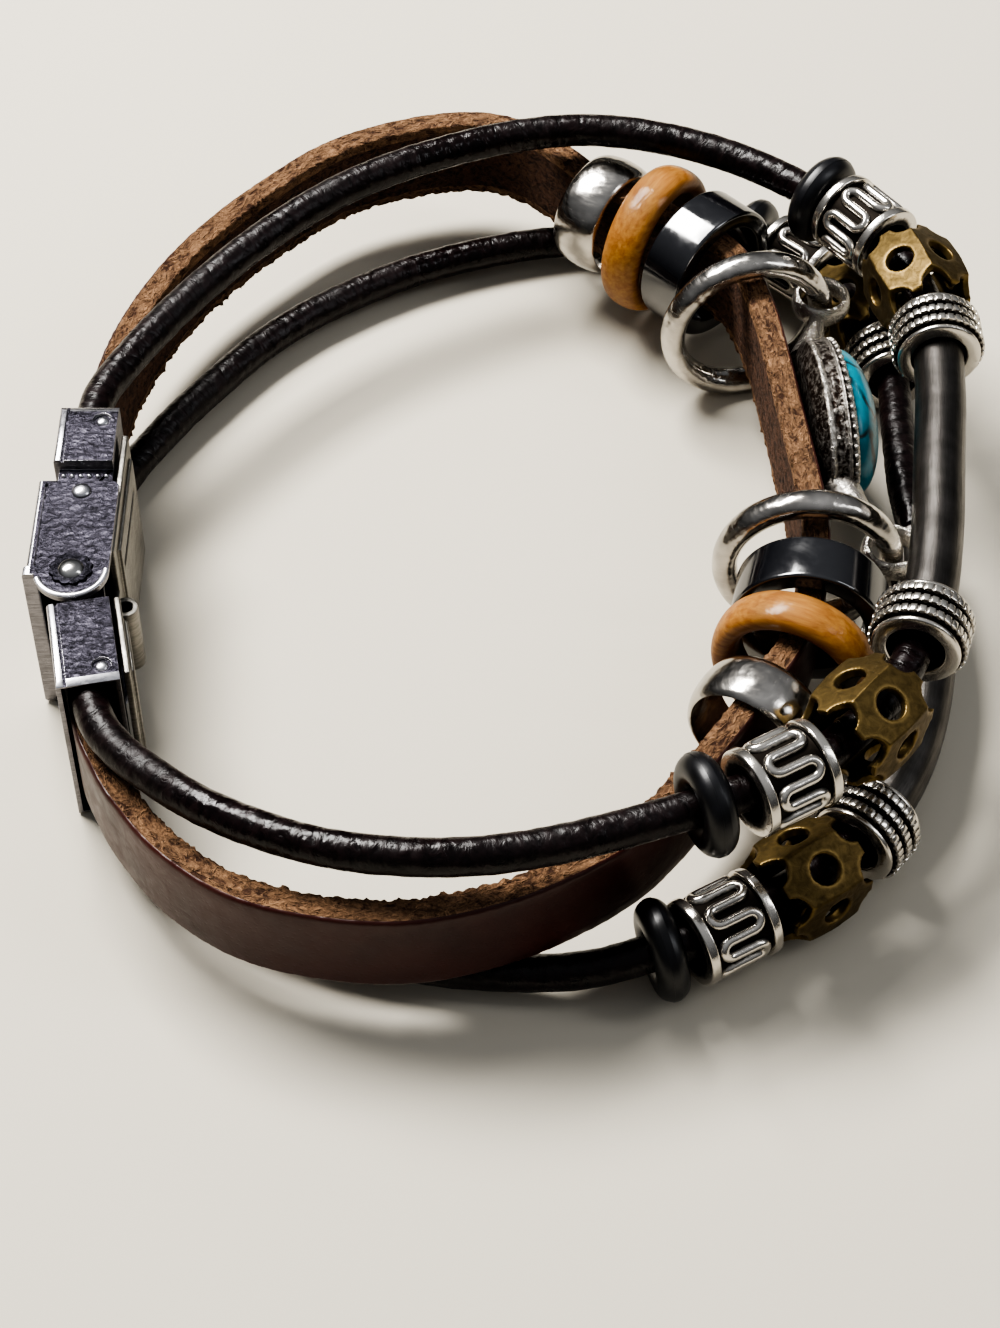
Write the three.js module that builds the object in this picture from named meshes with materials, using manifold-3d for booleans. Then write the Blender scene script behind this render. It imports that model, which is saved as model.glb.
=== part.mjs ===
// Leather bracelet lying on its edge: two round cords and a flat strap side by side, strung with
// metal, wood and rubber beads, a turquoise on two rings, and a steel clasp with a fold-over lid.
// Millimetres, +Z up. The loop's axis is vertical. The clasp is at -X and the beads are at +X.
import * as THREE from 'three';
import { mergeVertices } from 'three/addons/utils/BufferGeometryUtils.js';
import Module from 'manifold-3d';

const wasm = await Module();
wasm.setup();

// ---------------------------------------------------------------- driving dimensions
const GAP = 0.3; // running clearance between touching pieces
const FRAME_CENTRE = { x: 1.55, y: 1.69 }; // middle of the loop's bounding box, moved to the origin

const CORD = { radius: 1.4, sides: 8, steps: 56 };
const STRAP = { height: 7.7, thickness: 2.2, corner: 0.3, steps: 60 };

const O_RING = { inner: 1.75, outer: 3.85, sides: 12, wireSides: 6 };
const ENGRAVED = { length: 6.0, bore: 2.0, core: 2.85, rim: 3.35, rimWidth: 0.75, sides: 16 };
const MEANDER = { strokes: 16, width: 0.5, relief: 3.2, root: 2.55, inset: 0.3 };
const PIERCED = { length: 7.1, end: 3.75, middle: 4.15, wall: 0.75, hole: 1.15, holeSides: 8 };
const RIBBED = { length: 4.2, bore: 2.65, rib: 3.75, groove: 3.3, ribs: 3, sides: 14 };
const TUBE = { outer: 2.0, inner: 1.75, sides: 12, steps: 8 };

const RONDELLE = { length: 4.4, bore: 4.35, face: 4.65, middle: 5.0, sides: 16 };
const WOOD_RING = { width: 3.6, inner: 4.4, outer: 6.5, sides: 16 };
const BLACK_RING = { length: 4.2, bore: 4.4, outer: 5.95, chamfer: 0.5, sides: 16 };
const BIG_RING = { width: 2.4, inner: 5.5, outer: 7.5, sides: 20, outward: -0.3 };

const STONE = { length: 13.6, height: 9.8, foot: 2.7, girdle: 4.8, crown: 7.3, sides: 16 };
const SETTING = {
  length: 15.6, height: 11.6, back: 1.65, backTaper: 2.4, floor: 2.4, rim: 4.8, rimTaper: 0.5,
  sides: 16, z: 8.6,
};
const LUG = { inner: 1.65, wire: 0.42, sides: 12, stem: 0.7, shoulder: 1.7 };

const CLASP = { height: 15.1, wall: 0.35, stepDown: 1.0 }; // stepDown: tongue below the full height
const BACK_BOX = {
  outer: -34.5, inner: -29.9, mouth: 5.0, shoulder: -1.0, tongueEnd: -7.2, tongueOuter: -34.1,
};
const PIN = { x: -32.0, y: -12.2, radius: 0.65, hole: 1.0, inset: 0.2, sides: 14, holeSides: 16 };
const FRONT_BOX = {
  turn: 11, outer: -2.15, inner: 2.5, shoulder: -3.4, mouth: -11.4,
  neckOuter: -1.0, neckInner: 2.2, neckEnd: 3.6,
};
const LID = {
  outer: -3.4, plate: 0.6, edge: 2.8, end: 9.2, heel: -0.5, flange: 0.5, lip: 0.25, lipWidth: 0.8,
  rivet: 0.55, rivetProud: 0.15, rivetInset: 0.9, sides: 7,
};
const BLADE = {
  thickness: 0.85, zs: [1.0, 14.1], back: 2.8, split: -9.6, knuckle: 1.0, knuckleZs: [3.2, 9.6],
  frontEnd: -10.2, frontStart: -2.6,
};
const POCKET_DEPTH = 5.0;
const EYE = { radius: 0.5, depth: 0.25, fromInner: 1.2, fromMouth: 0.9, sides: 10 };
const ROOT = 0.5; // how far joined blocks run into each other

// Centre lines of the three strands, from the back box round the loop to the front box.
const CORD_TOP_ROUTE = [
  { x: -32.2, y: 0.4, z: 13.05 },
  { x: -32.3, y: 4.5, z: 13.05 },
  { x: -31.9, y: 8.2, z: 13.05 },
  { x: -29.9, y: 12.6, z: 13.1 },
  { x: -27.4, y: 16.8, z: 13.3 },
  { x: -24.3, y: 21.1, z: 13.6 },
  { x: -20.6, y: 25.4, z: 14.0 },
  { x: -16.8, y: 29.0, z: 14.4 },
  { x: -12.6, y: 32.1, z: 14.8 },
  { x: -6.6, y: 35.4, z: 15.0 },
  { x: 1.4, y: 38.4, z: 15.0 },
  { x: 8.0, y: 39.2, z: 15.0 },
  { x: 15.5, y: 37.6, z: 15.0 },
  { x: 21.5, y: 34.6, z: 15.0 },
  { x: 26.8, y: 30.4, z: 15.0 },
  { x: 31.0, y: 25.6, z: 15.0 },
  { x: 33.9, y: 20.0, z: 15.0 },
  { x: 35.0, y: 13.9, z: 15.0 },
  { x: 34.8, y: 7.0, z: 15.0 },
  { x: 33.9, y: -1.0, z: 15.0 },
  { x: 32.9, y: -9.0, z: 15.0 },
  { x: 31.4, y: -16.5, z: 15.0 },
  { x: 29.1, y: -22.4, z: 15.0 },
  { x: 25.0, y: -27.9, z: 15.0 },
  { x: 19.9, y: -31.9, z: 15.0 },
  { x: 14.8, y: -34.2, z: 15.0 },
  { x: 9.1, y: -36.3, z: 15.0 },
  { x: 3.8, y: -37.9, z: 15.0 },
  { x: -1.4, y: -38.8, z: 15.0 },
  { x: -6.7, y: -38.8, z: 14.9 },
  { x: -13.0, y: -37.4, z: 14.4 },
  { x: -20.1, y: -33.8, z: 13.5 },
  { x: -24.6, y: -30.4, z: 13.15 },
  { x: -27.2, y: -28.0, z: 13.05 },
  { x: -28.85, y: -25.7, z: 13.05 },
  { x: -29.75, y: -23.2, z: 13.05 },
  { x: -30.45, y: -19.6, z: 13.05 },
];
const CORD_BOTTOM_ROUTE = [
  { x: -32.2, y: 0.4, z: 2.05 },
  { x: -32.2, y: 4.5, z: 2.05 },
  { x: -31.3, y: 9.4, z: 2.05 },
  { x: -28.3, y: 15.2, z: 2.1 },
  { x: -25.2, y: 19.9, z: 2.1 },
  { x: -20.2, y: 26.4, z: 2.1 },
  { x: -15.2, y: 30.9, z: 2.1 },
  { x: -7.2, y: 35.8, z: 2.1 },
  { x: 1.4, y: 38.8, z: 2.1 },
  { x: 8.5, y: 39.9, z: 2.1 },
  { x: 15.9, y: 39.6, z: 2.9 },
  { x: 22.5, y: 37.4, z: 3.95 },
  { x: 27.6, y: 33.2, z: 4.2 },
  { x: 31.3, y: 27.4, z: 4.2 },
  { x: 33.2, y: 20.7, z: 4.2 },
  { x: 33.2, y: 13.8, z: 4.2 },
  { x: 33.1, y: 7.0, z: 4.2 },
  { x: 33.6, y: 0.5, z: 4.2 },
  { x: 33.9, y: -5.5, z: 4.2 },
  { x: 33.2, y: -13.0, z: 4.2 },
  { x: 31.3, y: -20.5, z: 4.2 },
  { x: 28.8, y: -25.8, z: 4.2 },
  { x: 25.3, y: -30.3, z: 4.2 },
  { x: 20.6, y: -34.0, z: 4.2 },
  { x: 15.5, y: -37.4, z: 4.15 },
  { x: 11.1, y: -39.1, z: 3.95 },
  { x: 6.1, y: -40.0, z: 3.0 },
  { x: -0.5, y: -39.6, z: 2.1 },
  { x: -7.5, y: -38.6, z: 2.1 },
  { x: -14.5, y: -36.4, z: 2.1 },
  { x: -20.5, y: -32.8, z: 2.1 },
  { x: -24.6, y: -29.9, z: 2.05 },
  { x: -27.2, y: -27.8, z: 2.05 },
  { x: -28.8, y: -25.7, z: 2.05 },
  { x: -29.75, y: -23.2, z: 2.05 },
  { x: -30.45, y: -19.6, z: 2.05 },
];
const STRAP_ROUTE = [
  { x: -32.2, y: 0.4, z: 7.55 },
  { x: -32.3, y: 4.5, z: 7.55 },
  { x: -32.2, y: 10.4, z: 7.55 },
  { x: -31.2, y: 16.4, z: 7.55 },
  { x: -28.8, y: 23.4, z: 7.55 },
  { x: -25.2, y: 29.8, z: 7.65 },
  { x: -20.2, y: 35.9, z: 7.75 },
  { x: -14.2, y: 41.4, z: 7.85 },
  { x: -7.2, y: 44.3, z: 7.95 },
  { x: -1.7, y: 44.8, z: 8.05 },
  { x: 2.4, y: 43.1, z: 8.2 },
  { x: 5.6, y: 39.9, z: 8.3 },
  { x: 8.4, y: 36.6, z: 8.4 },
  { x: 12.9, y: 33.1, z: 8.4 },
  { x: 17.1, y: 30.0, z: 8.4 },
  { x: 20.1, y: 26.1, z: 8.4 },
  { x: 21.7, y: 20.6, z: 8.4 },
  { x: 22.7, y: 13.5, z: 8.4 },
  { x: 23.4, y: 7.0, z: 8.4 },
  { x: 24.1, y: 0.5, z: 8.4 },
  { x: 24.4, y: -4.6, z: 8.4 },
  { x: 24.0, y: -9.2, z: 8.4 },
  { x: 22.4, y: -15.4, z: 8.4 },
  { x: 19.3, y: -20.9, z: 8.4 },
  { x: 16.2, y: -25.6, z: 8.3 },
  { x: 12.9, y: -30.2, z: 8.2 },
  { x: 9.4, y: -34.1, z: 8.05 },
  { x: 4.9, y: -37.2, z: 7.95 },
  { x: -0.3, y: -39.6, z: 7.85 },
  { x: -6.5, y: -40.95, z: 7.75 },
  { x: -13.0, y: -40.4, z: 7.65 },
  { x: -18.7, y: -38.5, z: 7.55 },
  { x: -23.5, y: -34.9, z: 7.55 },
  { x: -26.4, y: -31.3, z: 7.55 },
  { x: -28.1, y: -28.6, z: 7.55 },
  { x: -29.1, y: -26.0, z: 7.55 },
  { x: -29.75, y: -23.2, z: 7.55 },
  { x: -30.45, y: -19.6, z: 7.55 },
];

// Where each piece sits: its distance along its strand from the back box, in mm.
const CORD_PIECES = [
  { piece: 'o_ring', side: 'back', top: 82.9, bottom: 76.6 },
  { piece: 'engraved_bead', side: 'back', top: 87.7, bottom: 81.6 },
  { piece: 'pierced_bead', side: 'back', top: 95.6, bottom: 89.4 },
  { piece: 'ribbed_bead', side: 'back', top: 102.5, bottom: 96.4 },
  { piece: 'ribbed_bead', side: 'front', top: 133.9, bottom: 147.4 },
  { piece: 'pierced_bead', side: 'front', top: 143.6, bottom: 154.1 },
  { piece: 'engraved_bead', side: 'front', top: 151.9, bottom: 161.6 },
  { piece: 'o_ring', side: 'front', top: 157.8, bottom: 166.5 },
];
const TUBE_SPAN = { top: { from: 103.9, to: 132.8 }, bottom: { from: 117.0, to: 146.4 } };
const STRAP_PIECES = [
  { piece: 'rondelle', side: 'back', at: 74.5 },
  { piece: 'wood_ring', side: 'back', at: 79.8 },
  { piece: 'black_ring', side: 'back', at: 85.1 },
  { piece: 'big_ring', side: 'back', at: 92.7 },
  { piece: 'big_ring', side: 'front', at: 120.4 },
  { piece: 'black_ring', side: 'front', at: 126.2 },
  { piece: 'wood_ring', side: 'front', at: 131.9 },
  { piece: 'rondelle', side: 'front', at: 138.4 },
];
const STONE_STATION = 106.5;

// ---------------------------------------------------------------- materials
const finish = (color, roughness, metalness) =>
  new THREE.MeshStandardMaterial({ color, roughness, metalness });
const FINISH = {
  strap: finish(0x4a2b22, 0.6, 0),
  cord: finish(0x1c1418, 0.5, 0),
  rubber: finish(0x15161a, 0.7, 0),
  silver: finish(0xa9a7a4, 0.35, 1),
  bronze: finish(0x8a7a3a, 0.45, 1),
  gunmetal: finish(0x6a6a72, 0.4, 1),
  polished: finish(0xc4c4c6, 0.2, 1),
  wood: finish(0xb5741f, 0.25, 0),
  hematite: finish(0x24242a, 0.15, 0.4),
  turquoise: finish(0x2a9fae, 0.35, 0),
  steel: finish(0x70707c, 0.35, 1),
};

// ---------------------------------------------------------------- solids
// One closed skin with shared corners and outward faces.
function closedSkin(geometry) {
  geometry.deleteAttribute('normal');
  geometry.deleteAttribute('uv');
  const skin = mergeVertices(geometry, 1e-4);
  const index = Array.from(skin.index.array);
  const solidFaces = [];
  for (let i = 0; i < index.length; i += 3) {
    const [a, b, c] = index.slice(i, i + 3);
    if (a !== b && b !== c && c !== a) solidFaces.push(a, b, c);
  }
  skin.setIndex(solidFaces);
  if (signedVolume(skin) < 0) {
    for (let i = 0; i < solidFaces.length; i += 3) {
      [solidFaces[i], solidFaces[i + 1]] = [solidFaces[i + 1], solidFaces[i]];
    }
    skin.setIndex(solidFaces);
  }
  return skin;
}

function signedVolume(geometry) {
  const corners = geometry.attributes.position;
  const [a, b, c] = [new THREE.Vector3(), new THREE.Vector3(), new THREE.Vector3()];
  let volume = 0;
  for (let i = 0; i < geometry.index.count; i += 3) {
    a.fromBufferAttribute(corners, geometry.index.getX(i));
    b.fromBufferAttribute(corners, geometry.index.getX(i + 1));
    c.fromBufferAttribute(corners, geometry.index.getX(i + 2));
    volume += a.dot(b.cross(c)) / 6;
  }
  return volume;
}

function toSolid(geometry) {
  const skin = closedSkin(geometry);
  return new wasm.Manifold(new wasm.Mesh({
    numProp: 3,
    vertProperties: new Float32Array(skin.attributes.position.array),
    triVerts: new Uint32Array(skin.index.array),
  }));
}

function toGeometry(solid) {
  const mesh = solid.getMesh();
  const geometry = new THREE.BufferGeometry();
  geometry.setAttribute('position', new THREE.BufferAttribute(new Float32Array(mesh.vertProperties), 3));
  geometry.setIndex(new THREE.BufferAttribute(new Uint32Array(mesh.triVerts), 1));
  return geometry;
}

const join = (geometries) => toGeometry(geometries.map(toSolid).reduce((a, b) => a.add(b)));
const cut = (geometry, tools) =>
  toGeometry(tools.map(toSolid).reduce((solid, tool) => solid.subtract(tool), toSolid(geometry)));

function block(xs, ys, zs) {
  const geometry = new THREE.BoxGeometry(xs[1] - xs[0], ys[1] - ys[0], zs[1] - zs[0]);
  return geometry.translate((xs[0] + xs[1]) / 2, (ys[0] + ys[1]) / 2, (zs[0] + zs[1]) / 2);
}

// An upright cylinder between two heights.
function post(x, y, radius, zs, sides) {
  const geometry = new THREE.CylinderGeometry(radius, radius, zs[1] - zs[0], sides);
  return geometry.rotateX(Math.PI / 2).translate(x, y, (zs[0] + zs[1]) / 2);
}

// A ring turned about Z from a closed half-section of { r, z } corners.
function turned(section, sides) {
  const loop = [...section, section[0]].map(({ r, z }) => new THREE.Vector2(r, z));
  return closedSkin(new THREE.LatheGeometry(loop, sides).rotateX(Math.PI / 2));
}

// ---------------------------------------------------------------- strands
function route(rows) {
  const points = rows.map(({ x, y, z }) => new THREE.Vector3(x, y, z));
  const curve = new THREE.CatmullRomCurve3(points, false, 'centripetal');
  curve.arcLengthDivisions = 1200;
  return curve;
}
const ROUTE = {
  top: route(CORD_TOP_ROUTE),
  bottom: route(CORD_BOTTOM_ROUTE),
  strap: route(STRAP_ROUTE),
};

function circleShape(radius, sides) {
  const corners = Array.from({ length: sides }, (_, i) => {
    const angle = (2 * Math.PI * (i + 0.5)) / sides;
    return new THREE.Vector2(radius * Math.cos(angle), radius * Math.sin(angle));
  });
  return new THREE.Shape(corners);
}

const sweep = (shape, path, steps) =>
  closedSkin(new THREE.ExtrudeGeometry(shape, { steps, extrudePath: path, bevelEnabled: false }));

function roundCord(path) {
  return sweep(circleShape(CORD.radius, CORD.sides), path, CORD.steps);
}

function flatStrap(path) {
  const [h, t, c] = [STRAP.height / 2, STRAP.thickness / 2, STRAP.corner];
  const section = new THREE.Shape([
    [-h, -t + c], [-h + c, -t], [h - c, -t], [h, -t + c],
    [h, t - c], [h - c, t], [-h + c, t], [-h, t - c],
  ].map(([x, y]) => new THREE.Vector2(x, y)));
  return sweep(section, path, STRAP.steps);
}

// The stretch of a strand between two distances along it.
class StrandStretch extends THREE.Curve {
  constructor(path, from, to) {
    super();
    Object.assign(this, { path, from, to, total: path.getLength() });
  }

  getPoint(t) {
    return this.path.getPointAt((this.from + (this.to - this.from) * t) / this.total);
  }
}

// Puts a piece on a strand: its own Z runs along the strand, its X points out of the loop
// and its Y points up.
function seat(mesh, path, at, outward = 0, height = null) {
  const u = at / path.getLength();
  const along = path.getTangentAt(u);
  const out = new THREE.Vector3(0, 0, 1).cross(along).normalize();
  if (out.dot(path.getPointAt(u)) < 0) out.negate();
  const up = new THREE.Vector3().crossVectors(along, out).normalize();
  mesh.quaternion.setFromRotationMatrix(new THREE.Matrix4().makeBasis(out, up, along));
  mesh.position.copy(path.getPointAt(u)).addScaledVector(out, outward);
  if (height !== null) mesh.position.z = height;
  return mesh;
}

// ---------------------------------------------------------------- beads on the cords
function oRing() {
  const wire = (O_RING.outer - O_RING.inner) / 2;
  const torus = new THREE.TorusGeometry(O_RING.inner + wire, wire, O_RING.wireSides, O_RING.sides);
  return closedSkin(torus);
}

// A meander of raised strokes, drawn flat and then wrapped round the bead's core.
function meander() {
  const pitch = (2 * Math.PI) / MEANDER.strokes;
  const half = MEANDER.width / 2 / MEANDER.relief;
  const reach = ENGRAVED.length / 2 - ENGRAVED.rimWidth - MEANDER.inset;
  const strokes = [];
  for (let i = 0; i < MEANDER.strokes; i += 1) {
    const turn = i % 2 === 0 ? [reach - MEANDER.width, reach] : [-reach, -reach + MEANDER.width];
    strokes.push(wrapped([i * pitch - half, i * pitch + half], [-reach, reach]));
    strokes.push(wrapped([i * pitch - half, (i + 1) * pitch + half], turn));
  }
  return strokes;
}

// A small slab bent onto the core between two angles.
function wrapped(angles, zs) {
  const slab = block(angles, [MEANDER.root, MEANDER.relief], zs);
  const corners = slab.attributes.position;
  for (let i = 0; i < corners.count; i += 1) {
    const [angle, radius] = [corners.getX(i), corners.getY(i)];
    corners.setXYZ(i, radius * Math.sin(angle), radius * Math.cos(angle), corners.getZ(i));
  }
  return slab;
}

function engravedBead() {
  const [half, rim] = [ENGRAVED.length / 2, ENGRAVED.rimWidth];
  const body = turned([
    { r: ENGRAVED.bore, z: -half },
    { r: ENGRAVED.rim, z: -half },
    { r: ENGRAVED.rim, z: -half + rim },
    { r: ENGRAVED.core, z: -half + rim },
    { r: ENGRAVED.core, z: half - rim },
    { r: ENGRAVED.rim, z: half - rim },
    { r: ENGRAVED.rim, z: half },
    { r: ENGRAVED.bore, z: half },
  ], ENGRAVED.sides);
  return join([body, ...meander()]);
}

// A six-sided thin-walled barrel, holed on its facets and, at both ends, on its edges.
function piercedBead() {
  const half = PIERCED.length / 2;
  const barrel = turned([
    { r: PIERCED.end - PIERCED.wall, z: -half },
    { r: PIERCED.end, z: -half },
    { r: PIERCED.middle, z: 0 },
    { r: PIERCED.end, z: half },
    { r: PIERCED.end - PIERCED.wall, z: half },
    { r: PIERCED.middle - PIERCED.wall, z: 0 },
  ], 6);
  const drills = [];
  for (let i = 0; i < 3; i += 1) {
    const edge = (i * Math.PI) / 3;
    drills.push(drill(edge + Math.PI / 6, 0));
    drills.push(drill(edge, -half), drill(edge, half));
  }
  return cut(barrel, drills);
}

// A drill that crosses the bead from side to side.
function drill(angle, z) {
  const reach = 2.4 * PIERCED.middle;
  const rod = new THREE.CylinderGeometry(PIERCED.hole, PIERCED.hole, reach, PIERCED.holeSides);
  return rod.rotateZ(angle).translate(0, 0, z);
}

function ribbedBead() {
  const pitch = RIBBED.length / RIBBED.ribs;
  const section = [{ r: RIBBED.bore, z: -RIBBED.length / 2 }];
  for (let i = 0; i < RIBBED.ribs; i += 1) {
    const foot = -RIBBED.length / 2 + i * pitch;
    section.push({ r: RIBBED.groove, z: foot });
    section.push({ r: RIBBED.rib, z: foot + 0.25 * pitch });
    section.push({ r: RIBBED.rib, z: foot + 0.75 * pitch });
  }
  section.push({ r: RIBBED.groove, z: RIBBED.length / 2 }, { r: RIBBED.bore, z: RIBBED.length / 2 });
  return turned(section, RIBBED.sides);
}

function curvedTube(path, span) {
  const shape = circleShape(TUBE.outer, TUBE.sides);
  shape.holes.push(circleShape(TUBE.inner, TUBE.sides));
  return sweep(shape, new StrandStretch(path, span.from, span.to), TUBE.steps);
}

// ---------------------------------------------------------------- rings on the strap
// A ring whose outside bulges from its faces to its middle.
function rondelle() {
  const { length, bore, face, middle, sides } = RONDELLE;
  const half = length / 2;
  return turned([
    { r: bore, z: -half },
    { r: face, z: -half },
    { r: middle, z: -half * 0.45 },
    { r: middle, z: half * 0.45 },
    { r: face, z: half },
    { r: bore, z: half },
  ], sides);
}

// A ring with an oval section, squared off a little so that it keeps its full width.
function ovalRing({ inner, outer, width, sides }) {
  const [across, along, middle] = [(outer - inner) / 2, width / 2, (inner + outer) / 2];
  const section = Array.from({ length: 8 }, (_, i) => {
    const angle = (2 * Math.PI * (i + 0.5)) / 8;
    const [cos, sin] = [Math.cos(angle), Math.sin(angle)];
    const swell = Math.max(Math.abs(cos), Math.abs(sin)) ** 0.95;
    return { r: middle - (across * cos) / swell, z: (along * sin) / swell };
  });
  return turned(section, sides);
}

function blackRing() {
  const [half, c] = [BLACK_RING.length / 2, BLACK_RING.chamfer];
  return turned([
    { r: BLACK_RING.bore, z: -half },
    { r: BLACK_RING.outer - c, z: -half },
    { r: BLACK_RING.outer, z: -half + c },
    { r: BLACK_RING.outer, z: half - c },
    { r: BLACK_RING.outer - c, z: half },
    { r: BLACK_RING.bore, z: half },
  ], BLACK_RING.sides);
}

// ---------------------------------------------------------------- turquoise and its setting
// Both are drawn with X out of the loop, Y up and Z along the strap, as seat() places them.
function ovalLoft(levels, sides) {
  const corners = [];
  const faces = [];
  levels.forEach(({ out, length, height }) => {
    for (let i = 0; i < sides; i += 1) {
      const angle = (2 * Math.PI * i) / sides;
      corners.push(out, (height / 2) * Math.cos(angle), (length / 2) * Math.sin(angle));
    }
  });
  for (let level = 0; level < levels.length - 1; level += 1) {
    for (let i = 0; i < sides; i += 1) {
      const [a, b] = [level * sides + i, level * sides + ((i + 1) % sides)];
      faces.push(a, b, b + sides, a, b + sides, a + sides);
    }
  }
  const last = (levels.length - 1) * sides;
  for (let i = 1; i < sides - 1; i += 1) faces.push(0, i + 1, i, last, last + i, last + i + 1);
  const geometry = new THREE.BufferGeometry();
  geometry.setAttribute('position', new THREE.Float32BufferAttribute(corners, 3));
  geometry.setIndex(faces);
  return closedSkin(geometry);
}

function stone() {
  const { length, height, foot, girdle, crown } = STONE;
  const level = (out, share) => ({ out, length: length * share, height: height * share });
  const rise = crown - girdle;
  return ovalLoft([
    level(foot, 1), level(girdle, 1), level(girdle + 0.38 * rise, 0.93),
    level(girdle + 0.7 * rise, 0.74), level(girdle + 0.92 * rise, 0.42), level(crown, 0.14),
  ], STONE.sides);
}

function setting(ringSides) {
  const level = (out, spread) => ({
    out, length: SETTING.length + spread, height: SETTING.height + spread,
  });
  const cup = ovalLoft([
    level(SETTING.back, -SETTING.backTaper),
    level(SETTING.floor, 0),
    level(SETTING.rim, -SETTING.rimTaper),
  ], SETTING.sides);
  const pocket = (out) => ({ out, length: STONE.length + 2 * GAP, height: STONE.height + 2 * GAP });
  const bowl = ovalLoft([pocket(SETTING.floor), pocket(SETTING.rim + 1)], SETTING.sides);
  return cut(join([cup, ...ringSides.flatMap(lug)]), [bowl]);
}

// An eye round a big ring's outer side, and the stem that joins it to the cup.
function lug(ringSide) {
  const wireRing = new THREE.TorusGeometry(LUG.inner + LUG.wire, LUG.wire, 6, LUG.sides);
  const eye = wireRing.rotateX(Math.PI / 2).translate(ringSide.x, 0, ringSide.z);
  const start = new THREE.Vector3(SETTING.floor + 0.7, 0, Math.sign(ringSide.z) * (SETTING.length / 2 - 0.6));
  const run = new THREE.Vector3(ringSide.x, 0, ringSide.z).sub(start);
  const reach = run.length() - LUG.inner - LUG.wire;
  run.normalize();
  const stem = new THREE.CylinderGeometry(LUG.stem, LUG.shoulder, reach, 8);
  const turn = new THREE.Quaternion().setFromUnitVectors(new THREE.Vector3(0, 1, 0), run);
  const middle = start.clone().addScaledVector(run, reach / 2);
  return [eye, stem.applyQuaternion(turn).translate(middle.x, middle.y, middle.z)];
}

// ---------------------------------------------------------------- clasp
const TONGUE = [CLASP.stepDown, CLASP.height - CLASP.stepDown];
const FULL = [0, CLASP.height];
const INSIDE = [CLASP.wall, CLASP.height - CLASP.wall];
const THROUGH = [-1, CLASP.height + 1];

// Shallow eyes in the top and bottom faces, where the blades' pins end.
function pinEyes(inner, y) {
  const eye = (zs) => post(inner - EYE.fromInner, y, EYE.radius, zs, EYE.sides);
  return [eye([THROUGH[0], EYE.depth]), eye([CLASP.height - EYE.depth, THROUGH[1]])];
}

function backBox() {
  const { outer, inner, mouth, shoulder, tongueEnd, tongueOuter } = BACK_BOX;
  const body = join([
    block([outer, inner], [shoulder, mouth], FULL),
    block([tongueOuter, inner], [tongueEnd, shoulder + ROOT], TONGUE),
  ]);
  const pocket = block([outer + CLASP.wall, inner - CLASP.wall], [mouth - POCKET_DEPTH, mouth + 1], INSIDE);
  return cut(body, [pocket, ...pinEyes(inner, mouth - EYE.fromMouth)]);
}

// Drawn with the hinge pin at its origin.
function frontBox() {
  const { outer, inner, shoulder, mouth, neckOuter, neckInner, neckEnd } = FRONT_BOX;
  const body = join([
    block([outer, inner], [mouth, shoulder], FULL),
    block([neckOuter, neckInner], [shoulder - ROOT, neckEnd], TONGUE),
  ]);
  const pocket = block([outer + CLASP.wall, inner - CLASP.wall], [mouth - 1, mouth + POCKET_DEPTH], INSIDE);
  const bore = post(0, 0, PIN.hole, THROUGH, PIN.holeSides);
  return cut(body, [pocket, bore, ...pinEyes(inner, mouth + EYE.fromMouth)]);
}

function hingePin() {
  return closedSkin(post(PIN.x, PIN.y, PIN.radius, [PIN.inset, CLASP.height - PIN.inset], PIN.sides));
}

// The lid is a channel: an outer plate and two flanges with round heels on the hinge pin.
function lidFlange(z) {
  const outline = new THREE.Shape();
  outline.moveTo(LID.outer, LID.end);
  outline.lineTo(LID.outer, LID.heel);
  outline.lineTo(-LID.edge, LID.heel);
  outline.absarc(0, 0, LID.edge, Math.PI + 0.18, 2 * Math.PI, false);
  outline.lineTo(LID.edge, LID.end);
  const hole = new THREE.Path();
  hole.absarc(0, 0, PIN.hole, 0, 2 * Math.PI, true);
  outline.holes.push(hole);
  const options = { depth: LID.flange, bevelEnabled: false, curveSegments: LID.sides };
  return new THREE.ExtrudeGeometry(outline, options).translate(0, 0, z);
}

function lid() {
  const low = CLASP.stepDown - GAP - LID.flange;
  const high = CLASP.height - low;
  const lipTop = LID.heel + LID.lipWidth;
  const rivet = (zs) => post(0, LID.end - LID.rivetInset, LID.rivet, zs, 12);
  return join([
    block([LID.outer, LID.outer + LID.plate], [LID.heel, LID.end], [low, high]),
    block([LID.outer - LID.lip, LID.outer + LID.plate], [LID.heel, lipTop], [low, high]),
    lidFlange(low),
    lidFlange(high - LID.flange),
    rivet([low - LID.rivetProud, low + LID.flange / 2]),
    rivet([high - LID.flange / 2, high + LID.rivetProud]),
  ]);
}

// The folded blades on the wrist side: the back one ends in a knuckle.
function bladeBack() {
  const face = BACK_BOX.inner + GAP;
  const hook = BLADE.split - 1.6 * BLADE.knuckle;
  return join([
    block([face, face + BLADE.thickness], [BLADE.split, BLADE.back], BLADE.zs),
    block([face, face + BLADE.thickness], [hook, BLADE.split + GAP], BLADE.knuckleZs),
    post(face + BLADE.knuckle, hook, BLADE.knuckle, BLADE.knuckleZs, 10),
  ]);
}

function bladeFront() {
  const face = FRONT_BOX.inner + GAP;
  return closedSkin(block([face, face + BLADE.thickness], [BLADE.frontEnd, BLADE.frontStart], BLADE.zs));
}

// ---------------------------------------------------------------- assembly
const bracelet = new THREE.Group();

function add(name, geometry, material, parent = bracelet) {
  const mesh = new THREE.Mesh(geometry, material);
  mesh.name = name;
  parent.add(mesh);
  return mesh;
}

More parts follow.
